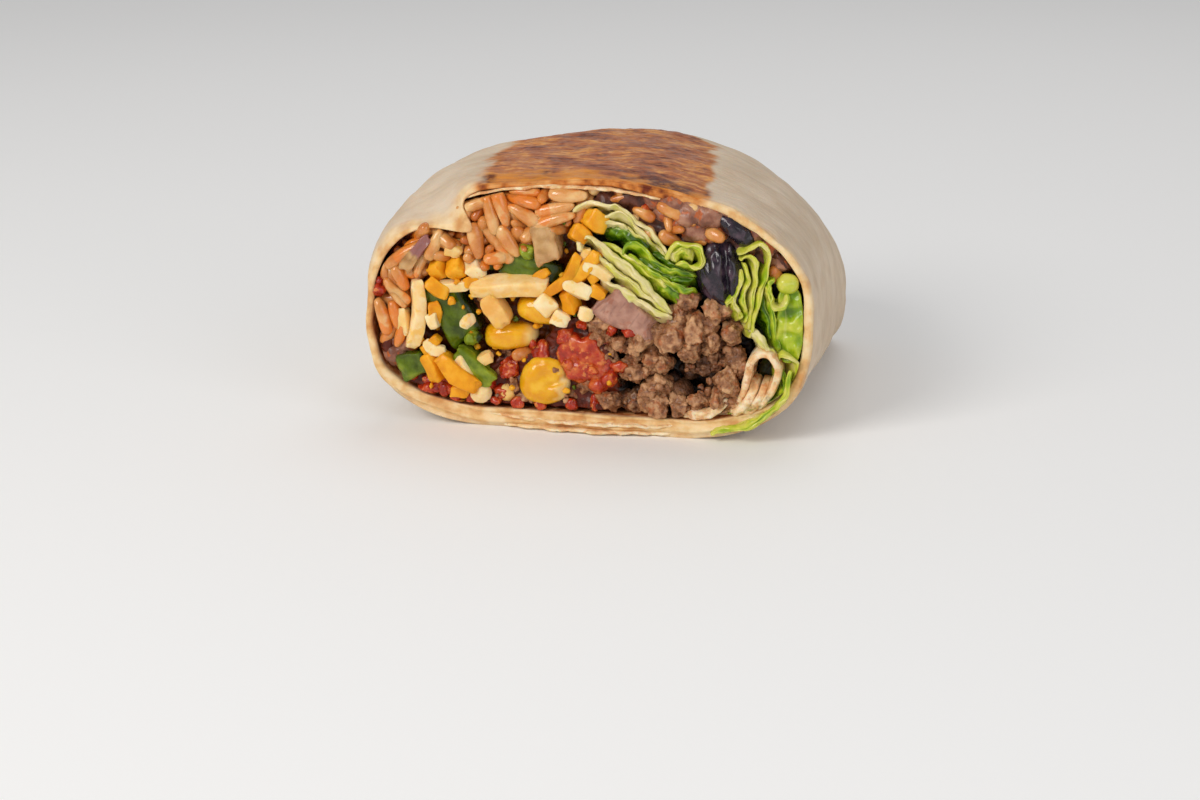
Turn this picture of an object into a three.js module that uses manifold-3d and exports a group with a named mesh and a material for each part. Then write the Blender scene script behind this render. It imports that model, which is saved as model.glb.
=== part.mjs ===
// Half of a grilled burrito, cut straight across and resting on its flat side.
//
// Millimetres, +Z up. The origin is at the middle of the footprint, on the surface it rests on.
// The cut face looks along -Y, and the folded, closed end is at +Y. X runs across the cut face.
//
// The tortilla is one shell, closed at the far end, with the wrap's inner hem standing in the
// filling. The filling is one core split by thin gaps into the heaps that show at the cut, each
// of which runs back through the food. Pieces as large as a berry sit in pockets at the cut.

import * as THREE from "three";
import { mergeVertices } from "three/addons/utils/BufferGeometryUtils.js";
import Module from "manifold-3d";

const wasm = await Module();
wasm.setup();

// ---- Driving dimensions -------------------------------------------------------------------

const WIDTH = 84;
const HEIGHT = 48;
const LENGTH = 80;
const CUT_Y = -LENGTH / 2;
const END_Y = LENGTH / 2;

const WALL = 1.8; // one layer of tortilla
const FLOOR_WALL = 3.4; // the overlap under the filling, two layers
const END_WALL = 4.5; // the tucked layers at the closed end
const GAP = 0.32; // clearance between separate solids
const STRIP_PAST = 10; // how far a strip that divides the filling runs past each end

const AROUND = 44; // steps round a section
const FACE_RINGS = [0.25, 0.5, 0.72, 0.9]; // rings of the uneven face of the filling
const SINK = 0.6; // how far the round section would pass below the table before it is flattened

// The body along its length. Each row is a station (mm from the cut), then the width and the
// height as shares of the whole, then the height of the widest point as a share of the height,
// then the superellipse exponents of the left shoulder, the right shoulder and the base corners:
// 2 is an ellipse, and more is squarer. The left shoulder is drawn in at the cut, the roll sags
// to the right further back, and the folded end is pressed flat at its base corners.
const STATIONS = [
  [0, 1.0, 1.0, 0.46, 2.05, 2.35, 3.3],
  [5, 1.0, 1.0, 0.46, 2.6, 2.35, 3.3],
  [12, 1.0, 1.0, 0.46, 3.1, 2.35, 3.3],
  [28, 1.0, 1.0, 0.44, 3.5, 2.3, 3.3],
  [44, 0.995, 0.99, 0.39, 3.5, 2.15, 3.3],
  [56, 0.985, 0.975, 0.34, 3.2, 1.95, 3.5],
  [66, 0.97, 0.955, 0.3, 2.8, 1.9, 4.2],
  [73, 0.945, 0.92, 0.27, 2.6, 1.9, 5.0],
  [77.5, 0.91, 0.86, 0.26, 2.5, 1.9, 5.6],
  [79.4, 0.87, 0.8, 0.26, 2.4, 1.9, 6.0],
  [80, 0.82, 0.72, 0.26, 2.3, 1.9, 6.0],
];

// The tucked end: an oval dimple inside the outer roll's lip.
const DIMPLE = { width: 50, height: 17, depth: 1.6, z: 16 };

// The hem of the wrap: a doubled strip that leaves the floor and stands up in the filling.
const HEM = {
  thickness: 3.6,
  route: [[19, 1.8], [26, 3.6], [30.4, 8.6], [32.2, 14.2]],
};

// Filling: the walls between heaps, as routes across the section, (x, z).
const WALLS = {
  riceAndRest: [
    [-46, 17], [-38, 16], [-34.5, 22], [-32, 28], [-28, 32.5], [-22, 32.4], [-17, 31],
    [-12, 34], [-8.5, 37], [-3, 39], [0.5, 43], [4, 52],
  ],
  beanRiceAndGreens: [
    [0.5, 43], [6, 41.2], [12, 38.5], [17, 35], [23, 35.4], [29, 35], [34, 31.5], [46, 29],
  ],
  lettuceAndCheese: [
    [-3, 39], [-1.5, 34], [1, 30], [4, 27.6], [13, 20.8], [17.5, 22], [22.5, 24],
    [24, 30], [23, 35.4],
  ],
  cheeseAndSalsa: [
    [-38, 16], [-33, 12.5], [-27, 10.2], [-21, 8.6], [-16, 13.6], [-10, 14.2], [-5, 20.4],
    [1.5, 23], [1, 30],
  ],
  salsaAndBeef: [[1.5, 23], [3.6, 17], [6.4, 11], [5, -4]],
  beefAndLettuce: [[23.6, 27], [28, 21.5], [31, 17.8], [32.2, 14.2]],
};

// A point inside each heap, by which its solid is told from the others.
const HEAPS = {
  rice: { seed: [-24, 38], colour: 0xd9a06a, roughness: 0.45 },
  bean_rice: { seed: [15, 41], colour: 0x9a6a58, roughness: 0.5 },
  lettuce_middle: { seed: [12, 29], colour: 0x9fb84a, roughness: 0.4 },
  cheese: { seed: [-30, 20], colour: 0xf0b84c, roughness: 0.45 },
  salsa: { seed: [-24, 5.6], colour: 0xa8552c, roughness: 0.35 },
  beef: { seed: [17, 14], colour: 0x7d5540, roughness: 0.65 },
  lettuce_side: { seed: [36, 22], colour: 0x8db53a, roughness: 0.4 },
};

// Pieces as large as a berry. at is the centre (x, z), size is (across, deep, tall), turn is the
// roll in the plane of the cut in degrees, and every piece comes out flush with the cut.
const PIECES = {
  corn_upper: { form: "kernel", at: [-8.2, 22.6], size: [9.6, 8, 5], turn: -8, colour: 0xf5b81e },
  corn_middle: { form: "kernel", at: [-14.6, 17.2], size: [9.8, 8, 5.2], turn: 4, colour: 0xf0b11c },
  corn_lower: { form: "kernel", at: [-7.8, 9], size: [9, 6, 8.4], turn: 12, colour: 0xf7c535 },
  black_bean_large: { form: "bean", at: [26.4, 30.4], size: [8.2, 8, 11.6], turn: 14, colour: 0x2c2230 },
  black_bean_small: { form: "bean", at: [28.4, 38.4], size: [8.4, 7, 3.6], turn: -38, colour: 0x2a2430 },
  chile_dark: { form: "dice", at: [-24.7, 21], size: [6.2, 9, 10.4], turn: 28, colour: 0x1f4a26 },
  chile_olive: { form: "dice", at: [-10.4, 30.4], size: [10, 8, 4.4], turn: -12, colour: 0x6f7a34 },
  pepper_green: { form: "dice", at: [-21.2, 11], size: [8, 6, 3.6], turn: -36, colour: 0x3f8a2c },
  pepper_left: { form: "dice", at: [-32.6, 10.8], size: [5, 6, 4.4], turn: 18, colour: 0x2c6e2a },
  onion_upper: { form: "dice", at: [-6.6, 36.6], size: [4.2, 6, 3.8], turn: 8, colour: 0xcdb39b },
  onion_purple: { form: "dice", at: [-31.4, 32.4], size: [6.4, 5, 2.2], turn: 52, colour: 0xa88a9a },
  tomato_large: { form: "lump", at: [-0.6, 14.4], size: [9.4, 8, 9], turn: 0, colour: 0xc8361c },
  tomato_small: { form: "lump", at: [-14.4, 11], size: [4, 6, 4.4], turn: 0, colour: 0xc23a1e },
  tomato_left: { form: "lump", at: [-28, 7.6], size: [6.4, 6, 4.4], turn: 0, colour: 0xb04a26 },
  beef_slice: { form: "dice", at: [8.2, 22.4], size: [10.4, 9, 4.8], turn: -34, colour: 0x9a7468 },
};

// Forms of the pieces, as shares of their half sizes.
const BALL_AROUND = 12;
const BALL_TALL = 8;
const KERNEL_TAPER = 0.22; // how much a kernel narrows towards its tip
const BEAN_HOLLOW = 0.16; // how far a bean's inner side curves in
const DICE_EDGE = 0.16; // the broken edge of a cut block
const LUMP_SWELL = 0.07; // how far a lump swells and sinks

// The uneven face of the filling: how far it stands back from the cut, and how far it waves.
const FACE_DEPTH = 1.2;
const FACE_WAVE = 0.6;

// ---- Small helpers ------------------------------------------------------------------------

const lerp = THREE.MathUtils.lerp;
const degToRad = THREE.MathUtils.degToRad;

/** A three.js geometry as a manifold solid. */
function solid(geometry) {
  const bare = geometry.index ? geometry.toNonIndexed() : geometry.clone();
  bare.deleteAttribute("normal");
  bare.deleteAttribute("uv");
  const merged = mergeVertices(bare, 1e-4);
  return new wasm.Manifold(
    new wasm.Mesh({
      numProp: 3,
      vertProperties: new Float32Array(merged.attributes.position.array),
      triVerts: new Uint32Array(merged.index.array),
    }),
  );
}

/** A manifold solid as a three.js geometry. */
function geometryOf(manifold) {
  const mesh = manifold.getMesh();
  const geometry = new THREE.BufferGeometry();
  geometry.setAttribute("position", new THREE.BufferAttribute(mesh.vertProperties, 3));
  geometry.setIndex(new THREE.BufferAttribute(mesh.triVerts, 1));
  geometry.computeVertexNormals();
  return geometry;
}

/** The largest body of a solid, without the slivers that a cut leaves. */
function largest(manifold) {
  return manifold.decompose().reduce((a, b) => (b.volume() > a.volume() ? b : a));
}

/** A closed skin over a list of equal rings, each end closed by a fan. */
function loft(rings) {
  const count = rings[0].length;
  const points = rings.flat();
  const middleOf = (ring) =>
    ring.reduce((sum, p) => sum.add(p), new THREE.Vector3()).divideScalar(count);
  const first = points.push(middleOf(rings[0])) - 1;
  const last = points.push(middleOf(rings.at(-1))) - 1;
  const faces = [];
  const tail = (rings.length - 1) * count;
  for (let i = 0; i < count; i++) {
    const j = (i + 1) % count;
    faces.push(first, i, j, last, tail + j, tail + i);
    for (let r = 0; r < rings.length - 1; r++) {
      const a = r * count;
      const b = a + count;
      faces.push(a + i, b + j, a + j, a + i, b + i, b + j);
    }
  }
  const geometry = new THREE.BufferGeometry();
  geometry.setAttribute(
    "position",
    new THREE.Float32BufferAttribute(points.flatMap((p) => p.toArray()), 3),
  );
  geometry.setIndex(faces);
  return geometry;
}

/** A strip of even thickness that follows a route across the section, along the whole length. */
function strip(route, thickness) {
  const curve = new THREE.CatmullRomCurve3(route.map(([x, z]) => new THREE.Vector3(x, z, 0)));
  const steps = (route.length - 1) * 2;
  const left = [];
  const right = [];
  for (let i = 0; i <= steps; i++) {
    const p = curve.getPoint(i / steps);
    const t = curve.getTangent(i / steps);
    const side = new THREE.Vector2(-t.y, t.x).multiplyScalar(thickness / 2);
    left.push(new THREE.Vector2(p.x + side.x, p.y + side.y));
    right.unshift(new THREE.Vector2(p.x - side.x, p.y - side.y));
  }
  const depth = LENGTH + 2 * STRIP_PAST;
  const geometry = new THREE.ExtrudeGeometry(new THREE.Shape([...left, ...right]), {
    depth,
    bevelEnabled: false,
  });
  geometry.rotateX(Math.PI / 2).translate(0, depth / 2, 0);
  return solid(geometry);
}

// ---- The body -----------------------------------------------------------------------------

/** A row of the body's table at a station between its own, without the station itself. */
function rowAt(station) {
  const next = Math.max(1, STATIONS.findIndex(([s]) => s >= station));
  const [s0, ...before] = STATIONS[next - 1];
  const [s1, ...after] = STATIONS[next];
  const t = THREE.MathUtils.clamp((station - s0) / (s1 - s0), 0, 1);
  return before.map((value, column) => lerp(value, after[column], t));
}

/** One ring of the body at a station, inset by a side wall and a floor, at depth y. */
function ring(station, y, wall, floor, inward = 1) {
  const [widthShare, heightShare, widestAt, left, right, base] = rowAt(station);
  const half = (WIDTH / 2) * widthShare - wall;
  const top = HEIGHT * heightShare - wall;
  const middle = HEIGHT * heightShare * widestAt;
  const points = [];
  for (let i = 0; i < AROUND; i++) {
    const angle = (2 * Math.PI * i) / AROUND;
    const c = Math.cos(angle);
    const s = Math.sin(angle);
    const shoulder = c > 0 ? right : left;
    const n = s > 0 ? shoulder : base;
    const radius = (Math.abs(c) ** n + Math.abs(s) ** n) ** (-1 / n);
    const x = half * radius * c;
    const rise = s > 0 ? top - middle : middle + SINK - floor;
    const z = Math.max(floor, middle + rise * radius * s);
    points.push(new THREE.Vector3(x * inward, y, middle + (z - middle) * inward));
  }
  return points;
}

/** The whole outside of the half, solid. */
function outside() {
  return solid(loft(STATIONS.map(([s]) => ring(s, CUT_Y + s, 0, 0))));
}

/** The rings of the space inside the wrap, from a front plane to the closed end. */
function cavity(clearance, frontY) {
  const depth = LENGTH - END_WALL - clearance;
  const between = STATIONS.map(([s]) => s).filter((s) => s > 0 && s < depth - 2);
  return [frontY - CUT_Y, ...between, depth].map((s) =>
    ring(Math.max(0, s), CUT_Y + s, WALL + clearance, FLOOR_WALL + clearance),
  );
}

/** How far the front of the filling stands back from the cut, in mm. */
function relief(x, z) {
  const waves =
    Math.sin(x * 0.61 + 1.3) * Math.cos(z * 0.53) + 0.6 * Math.sin(x * 1.17 - z * 0.83 + 0.4);
  return FACE_DEPTH + FACE_WAVE * waves;
}

/** The filling as one solid, with an uneven face at the cut. */
function fillingCore() {
  const walls = cavity(GAP, CUT_Y);
  const face = FACE_RINGS.map((inward) =>
    ring(0, CUT_Y, WALL + GAP, FLOOR_WALL + GAP, inward),
  );
  const front = [...face, walls[0]];
  for (const p of front.flat()) {
    p.y += relief(p.x, p.z);
  }
  return solid(loft([...front, ...walls.slice(1)]));
}

/** The tortilla: a shell closed at the folded end, with the hem left standing inside it. */
function tortilla() {
  const space = solid(loft(cavity(0, CUT_Y - 5)));
  const dimple = new THREE.SphereGeometry(1, 40, 20);
  dimple.scale(DIMPLE.width / 2, DIMPLE.depth, DIMPLE.height / 2);
  dimple.translate(0, END_Y, DIMPLE.z);
  return largest(
    outside()
      .subtract(space.subtract(strip(HEM.route, HEM.thickness)))
      .subtract(solid(dimple)),
  );
}

// ---- Pieces at the cut --------------------------------------------------------------------

/** A smooth ball of radius 1. */
function ball() {
  return new THREE.SphereGeometry(1, BALL_AROUND, BALL_TALL);
}

/** A corn kernel of half sizes 1: a round crown that narrows to its tip. */
function kernel() {
  const geometry = ball();
  const position = geometry.attributes.position;
  for (let i = 0; i < position.count; i++) {
    const taper = 1 - KERNEL_TAPER * position.getX(i);
    position.setZ(i, position.getZ(i) * Math.min(1, taper));
  }
  return geometry;
}

/** A bean of half sizes 1, with its inner side slightly hollow. */
function bean() {
  const geometry = ball();
  const position = geometry.attributes.position;
  for (let i = 0; i < position.count; i++) {
    const z = position.getZ(i);
    position.setX(i, position.getX(i) - BEAN_HOLLOW * (1 - z * z));
  }
  return geometry;
}

/** A cut block of half sizes 1, with broken edges. */
function dice() {
  const side = 1 - DICE_EDGE;
  const shape = new THREE.Shape([
    new THREE.Vector2(-side, -1), new THREE.Vector2(side, -1),
    new THREE.Vector2(1, -side), new THREE.Vector2(1, side),
    new THREE.Vector2(side, 1), new THREE.Vector2(-side, 1),
    new THREE.Vector2(-1, side), new THREE.Vector2(-1, -side),
  ]);
  return new THREE.ExtrudeGeometry(shape, { depth: 2, bevelEnabled: false })
    .translate(0, 0, -1)
    .rotateX(Math.PI / 2);
}

/** A soft lump of half sizes 1. */
function lump() {
  const geometry = ball();
  const position = geometry.attributes.position;
  const p = new THREE.Vector3();
  for (let i = 0; i < position.count; i++) {
    p.fromBufferAttribute(position, i);
    const swell = Math.sin(4 * p.x + 1) * Math.cos(4 * p.z - 1);
    p.multiplyScalar(1 - LUMP_SWELL + LUMP_SWELL * swell);
    position.setXYZ(i, p.x, p.y, p.z);
  }
  return geometry;
}

const FORMS = { kernel, bean, dice, lump };

/** A piece's solid, grown by a clearance on every side. */
function pieceSolid({ form, at, size, turn }, clearance = 0) {
  const [across, deep, tall] = size;
  const geometry = FORMS[form]();
  geometry.scale(across / 2 + clearance, deep / 2 + clearance, tall / 2 + clearance);
  geometry.rotateY(-degToRad(turn));
  geometry.translate(at[0], CUT_Y + deep / 2, at[1]);
  return solid(geometry);
}

// ---- Assembly -----------------------------------------------------------------------------

const part = new THREE.Group();

/** Adds a solid to the part as a named mesh with its own material. */
function addNode(name, manifold, colour, roughness) {
  const material = new THREE.MeshStandardMaterial({ color: colour, roughness, metalness: 0 });
  const mesh = new THREE.Mesh(geometryOf(manifold), material);
  mesh.name = name;
  part.add(mesh);
}

/** The heap that a seed point lies in, out of the separate bodies of the split filling. */
function heapAt([x, z], bodies) {
  const probe = new THREE.SphereGeometry(0.8, 8, 6).translate(x, 0, z);
  const share = (body) => body.intersect(solid(probe)).volume();
  return bodies.reduce((a, b) => (share(b) > share(a) ? b : a));
}

addNode("tortilla", tortilla(), 0xd8c6a8, 0.75);

let filling = fillingCore().subtract(strip(HEM.route, HEM.thickness + 2 * GAP));
for (const route of Object.values(WALLS)) {
  filling = filling.subtract(strip(route, GAP));
}
const bodies = filling.decompose();
for (const [name, { seed, colour, roughness }] of Object.entries(HEAPS)) {
  let heap = heapAt(seed, bodies);
  for (const piece of Object.values(PIECES)) {
    heap = heap.subtract(pieceSolid(piece, GAP));
  }
  addNode(name, largest(heap), colour, roughness);
}

for (const [name, piece] of Object.entries(PIECES)) {
  addNode(name, pieceSolid(piece), piece.colour, 0.4);
}

export default part;
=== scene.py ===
"""Half of a grilled burrito, cut across: the looks of every piece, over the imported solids.

Sizes are in millimetres until a mesh is made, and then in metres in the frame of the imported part:
X runs across the cut, +Y runs from the cut to the folded end, and Z is up from the table.
"""

import itertools
import logging
import math
from dataclasses import dataclass, field
from enum import Enum
from typing import Callable, Optional, Sequence

import bmesh
import bpy
import numpy as np
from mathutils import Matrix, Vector


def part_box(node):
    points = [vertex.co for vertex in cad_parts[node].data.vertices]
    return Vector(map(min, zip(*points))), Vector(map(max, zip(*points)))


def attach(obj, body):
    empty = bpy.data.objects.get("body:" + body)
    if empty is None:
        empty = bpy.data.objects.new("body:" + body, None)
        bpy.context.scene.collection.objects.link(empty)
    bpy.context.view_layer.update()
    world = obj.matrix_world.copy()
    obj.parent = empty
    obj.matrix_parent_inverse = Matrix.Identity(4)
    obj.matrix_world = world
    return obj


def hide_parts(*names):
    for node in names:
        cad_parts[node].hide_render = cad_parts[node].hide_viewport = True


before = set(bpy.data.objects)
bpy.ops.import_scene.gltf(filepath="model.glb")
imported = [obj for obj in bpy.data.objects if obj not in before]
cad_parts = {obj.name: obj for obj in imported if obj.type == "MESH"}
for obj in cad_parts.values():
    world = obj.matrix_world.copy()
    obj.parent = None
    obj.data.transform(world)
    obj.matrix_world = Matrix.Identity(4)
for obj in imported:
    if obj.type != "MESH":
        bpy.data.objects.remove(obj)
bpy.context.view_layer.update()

log = logging.getLogger("burrito")

MM = 0.001
MIDDLE_HEIGHT = 22.0  # the height of the middle of the filling
Colour = tuple[int, int, int]
Spot = tuple[float, float]
Array = np.ndarray
Rows = tuple[tuple[float, ...], ...]
Socket = bpy.types.NodeSocket
Material = bpy.types.Material
Mesh = bpy.types.Mesh
Tree = bpy.types.NodeTree


# ---- Numbers ---------------------------------------------------------------------------------


def linear(colour: Colour) -> tuple[float, ...]:
    """A screen colour, 0 to 255, as linear light with full alpha."""
    parts = [c / 255 for c in colour]
    return (*(p / 12.92 if p <= 0.04045 else ((p + 0.055) / 1.055) ** 2.4 for p in parts), 1.0)


def smoothstep(low: float, high: float, value: Array) -> Array:
    """0 below low, 1 above high, and a smooth rise between."""
    t = np.clip((value - low) / (high - low), 0.0, 1.0)
    return t * t * (3 - 2 * t)


def bell(value: Array, middle: float, width: float) -> Array:
    """A smooth hump of height 1 at middle."""
    return np.exp(-(((value - middle) / width) ** 2))


def unit_rows(vectors: Array) -> Array:
    """Each row at length 1."""
    return vectors / np.maximum(np.linalg.norm(vectors, axis=-1, keepdims=True), 1e-9)


def columns(*values: Array) -> Array:
    """Rows made of one value from each list."""
    return np.stack(values, 1)


def inside(spots: Array, corners: Sequence[Spot]) -> Array:
    """Which spots (x, z) lie inside a polygon.

    Args:
        spots: Rows of x, z.
        corners: The polygon's corners in order.

    Returns:
        A truth value for each row.
    """
    ring = np.asarray(corners, float)
    hits = np.zeros(len(spots), int)
    for (x0, z0), (x1, z1) in zip(ring, np.roll(ring, -1, axis=0)):
        if z0 != z1:
            spans = (z0 > spots[:, 1]) != (z1 > spots[:, 1])
            hits += spans & (spots[:, 0] < x0 + (spots[:, 1] - z0) * (x1 - x0) / (z1 - z0))
    return hits % 2 == 1


def nearest_on(spots: Array, corners: Sequence[Spot]) -> Array:
    """The nearest point of a polygon's outline to each spot.

    Args:
        spots: Rows of x, z.
        corners: The polygon's corners in order.

    Returns:
        Rows of x, z on the outline.
    """
    ring = np.asarray(corners, float)
    edge = np.roll(ring, -1, axis=0) - ring
    away = spots[:, None] - ring[None]
    share = np.clip((away * edge).sum(-1) / np.maximum((edge**2).sum(-1), 1e-9), 0, 1)
    foot = ring[None] + share[..., None] * edge[None]
    best = np.argmin(np.linalg.norm(spots[:, None] - foot, axis=-1), axis=1)
    return foot[np.arange(len(spots)), best]


class Noise:
    """Seeded noise over space, for relief that is worked out on vertices."""

    def __init__(self, seed: int) -> None:
        """Shuffles the lattice: the same seed gives the same noise.

        Args:
            seed: Which noise it is.
        """
        rng = np.random.default_rng(seed)
        self.order = rng.permutation(256)
        self.slopes = unit_rows(rng.normal(size=(256, 3)))
        self.jitter = rng.random((256, 3))

    def _cell(self, cell: Array) -> Array:
        """A number from 0 to 255 for each lattice cell.

        Args:
            cell: Whole numbers, one row each.

        Returns:
            The numbers, which pick a slope.
        """
        c = cell & 255
        second = self.order[(self.order[c[..., 0]] + c[..., 1]) & 255]
        return self.order[(second + c[..., 2]) & 255]

    def smooth(self, points: Array, size: float) -> Array:
        """Smooth noise from about -1 to 1.

        Args:
            points: Rows of x, y, z.
            size: The size of one wave.

        Returns:
            A value for each row.
        """
        p = points / size
        base = np.floor(p).astype(int)
        part = p - base
        fade = part**3 * (part * (part * 6 - 15) + 10)
        total = np.zeros(len(points))
        for corner in itertools.product((0, 1), repeat=3):
            step = np.array(corner)
            slope = self.slopes[self._cell(base + step)]
            weight = np.prod(np.where(step == 1, fade, 1 - fade), axis=1)
            total += weight * ((part - step) * slope).sum(1)
        return total * 1.7

    def layered(self, points: Array, size: float, layers: int = 3, gain: float = 0.5) -> Array:
        """Smooth noise with finer and weaker noise on top.

        Args:
            points: Rows of x, y, z.
            size: The size of the largest waves.
            layers: How many sizes, each half of the one before.
            gain: The strength of each size against the one before.

        Returns:
            A value for each row.
        """
        return sum(gain**k * self.smooth(points + 17.3 * k, size / 2**k) for k in range(layers))

    def pebbles(self, points: Array, size: float) -> Array:
        """Rounded grains: 1 at the middle of each, near 0 in the grooves between.

        Args:
            points: Rows of x, y, z.
            size: The distance from grain to grain.

        Returns:
            A value for each row.
        """
        p = points / size
        base = np.floor(p).astype(int)
        nearest = np.full(len(points), 9.0)
        for corner in itertools.product((-1, 0, 1), repeat=3):
            cell = base + np.array(corner)
            middle = cell + self.jitter[self._cell(cell)]
            nearest = np.minimum(nearest, np.linalg.norm(p - middle, axis=1))
        return 1 - np.clip(nearest, 0, 1) ** 2


def noise_of(seed: int) -> Noise:
    """A dataclass field that holds noise of its own."""
    return field(default_factory=lambda: Noise(seed))


def draws_of(seed: int) -> np.random.Generator:
    """A dataclass field that holds random draws of its own."""
    return field(default_factory=lambda: np.random.default_rng(seed))


class Path:
    """A smooth route through given points, walked by its share of length."""

    def __init__(self, points: Sequence[Sequence[float]]) -> None:
        """Fits a smooth curve through two or more points, x, y, z.

        Args:
            points: Where it passes, one row each.
        """
        knots = np.asarray(points, float)
        k = np.vstack([2 * knots[0] - knots[1], knots, 2 * knots[-1] - knots[-2]])
        t = np.linspace(0, 1, 14, endpoint=False)[:, None]
        runs = []
        for a, b, c, d in zip(k, k[1:], k[2:], k[3:]):
            bend = 2 * a - 5 * b + 4 * c - d
            runs.append(0.5 * (2 * b + (c - a) * t + bend * t**2 + (3 * b - a - 3 * c + d) * t**3))
        self.line = np.vstack([*runs, knots[-1:]])
        walked = np.cumsum([0.0, *np.linalg.norm(np.diff(self.line, axis=0), axis=1)])
        self.share = walked / max(float(walked[-1]), 1e-9)

    def at(self, share: Array) -> Array:
        """The places at shares of the route, 0 at its start and 1 at its end."""
        return columns(*(np.interp(share, self.share, line) for line in self.line.T))

    def laid(self, along: Array, across: Array, over: Array, side: Sequence[float]) -> Array:
        """Points beside the route.

        Args:
            along: The share of the route for each point.
            across: How far each lies towards side.
            over: How far each lies square to side and to the route.
            side: The direction of across.

        Returns:
            The points.
        """
        ahead = unit_rows(self.at(np.clip(along + 0.01, 0, 1)) - self.at(np.clip(along - 0.01, 0, 1)))
        flat = np.broadcast_to(np.asarray(side, float), ahead.shape)
        flat = unit_rows(flat - ahead * (flat * ahead).sum(1, keepdims=True))
        return self.at(along) + flat * across[:, None] + np.cross(ahead, flat) * over[:, None]

    def swept(
        self, unit: Array, wide: float | Array, thick: float | Array, blunt: float = 0.6, square: float = 2.0,
        even: float = 0.0, side: Sequence[float] = (0.0, 1.0, 0.0),
    ) -> tuple[Array, Array]:
        """Pulls a ball of rings along the route.

        Args:
            unit: The ball's points.
            wide: Half the size along side.
            thick: Half the size square to side and to the route.
            blunt: 1 for ends as round as an egg's, less for blunter ends.
            square: 2 for an oval section, and more for a squarer one.
            even: 0 gathers the rings at the ends, 1 spaces them evenly.
            side: The direction of the wide side.

        Returns:
            The points, and for each its share along the route and its place across the section.
        """
        polar = np.arccos(np.clip(unit[:, 2], -1, 1))
        along = (1 - even) * (1 - np.cos(polar)) / 2 + even * polar / np.pi
        girth = np.sin(np.clip(polar, 0, np.pi)).clip(0) ** blunt
        turn = np.arctan2(unit[:, 1], unit[:, 0])
        c, s = np.cos(turn), np.sin(turn)
        reach = (np.abs(c) ** square + np.abs(s) ** square) ** (-1 / square)
        across, over = reach * c, reach * s
        points = self.laid(along, wide * girth * across, thick * girth * over, side)
        return points, columns(along, across * girth, over * girth)


# ---- Meshes ----------------------------------------------------------------------------------


def rows_of(items: bpy.types.bpy_prop_collection, name: str) -> Array:
    """Three numbers for each item of a mesh.

    Args:
        items: What is read.
        name: The value's name.

    Returns:
        The values, one row each.
    """
    flat = np.zeros(len(items) * 3)
    items.foreach_get(name, flat)
    return flat.reshape(-1, 3)


@dataclass
class Template:
    """A closed starting shape of half size 1, made by an operator."""

    mesh: Mesh
    unit: Array

    @staticmethod
    def made(operator: Callable[..., object], edge: float = 0.0, cuts: int = 0, **sizes: float) -> "Template":
        """Keeps what an operator makes.

        Args:
            operator: The bmesh operator that creates the shape.
            edge: Where given, the size of the rounding of its edges.
            cuts: Cuts across each rounded face, for relief.
            sizes: The operator's own sizes.

        Returns:
            The template.
        """
        bm = bmesh.new()
        operator(bm, **sizes)
        if edge:
            bmesh.ops.bevel(
                bm, geom=bm.edges[:], offset=edge, offset_type="OFFSET", segments=3,
                profile=0.5, affect="EDGES", material=-1,
            )
            bmesh.ops.subdivide_edges(bm, edges=bm.edges[:], cuts=cuts, use_grid_fill=True)
        mesh = bpy.data.meshes.new("template")
        bm.to_mesh(mesh)
        bm.free()
        return Template(mesh, rows_of(mesh.vertices, "co"))

    def rings(self, total: int) -> tuple[Array, Array]:
        """Each point's ring, counted from the +Z pole of a ball of rings, and its turn.

        Args:
            total: How many rows there are.

        Returns:
            The first number of each ring.
        """
        polar = np.arccos(np.clip(self.unit[:, 2], -1, 1))
        turn = np.arctan2(self.unit[:, 1], self.unit[:, 0])
        return np.rint(polar / np.pi * total).astype(int), turn


def ball(around: int, along: int) -> Template:
    """A ball of rings and poles."""
    return Template.made(bmesh.ops.create_uvsphere, u_segments=around, v_segments=along, radius=1.0)


def even_ball(subdivisions: int) -> Template:
    """A ball of even triangles."""
    return Template.made(bmesh.ops.create_icosphere, subdivisions=subdivisions, radius=1.0)


def block(cuts: int, edge: float) -> Template:
    """A block with rounded edges."""
    return Template.made(bmesh.ops.create_cube, edge=edge, cuts=cuts, size=2.0)


def right_way_out(mesh: Mesh) -> None:
    """Turns every face outwards and shades it smooth.

    Args:
        mesh: The mesh, changed in place.
    """
    bm = bmesh.new()
    bm.from_mesh(mesh)
    bmesh.ops.recalc_face_normals(bm, faces=bm.faces[:])
    for face in bm.faces:
        face.smooth = True
    bm.to_mesh(mesh)
    bm.free()


def set_points(mesh: Mesh, points: Array) -> None:
    """Moves a mesh's vertices to places in millimetres."""
    mesh.vertices.foreach_set("co", (points * MM).ravel())
    mesh.update()


def mark(mesh: Mesh, **marks: Array) -> None:
    """Keeps a number, or three, for each vertex, for the material to read by name.

    Args:
        mesh: The mesh.
        marks: The values, one row a point.
    """
    for name, values in marks.items():
        kind, key = ("FLOAT", "value") if values.ndim == 1 else ("FLOAT_VECTOR", "vector")
        layer = mesh.attributes.new(name, kind, "POINT")
        layer.data.foreach_set(key, values.astype(float).ravel())


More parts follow.
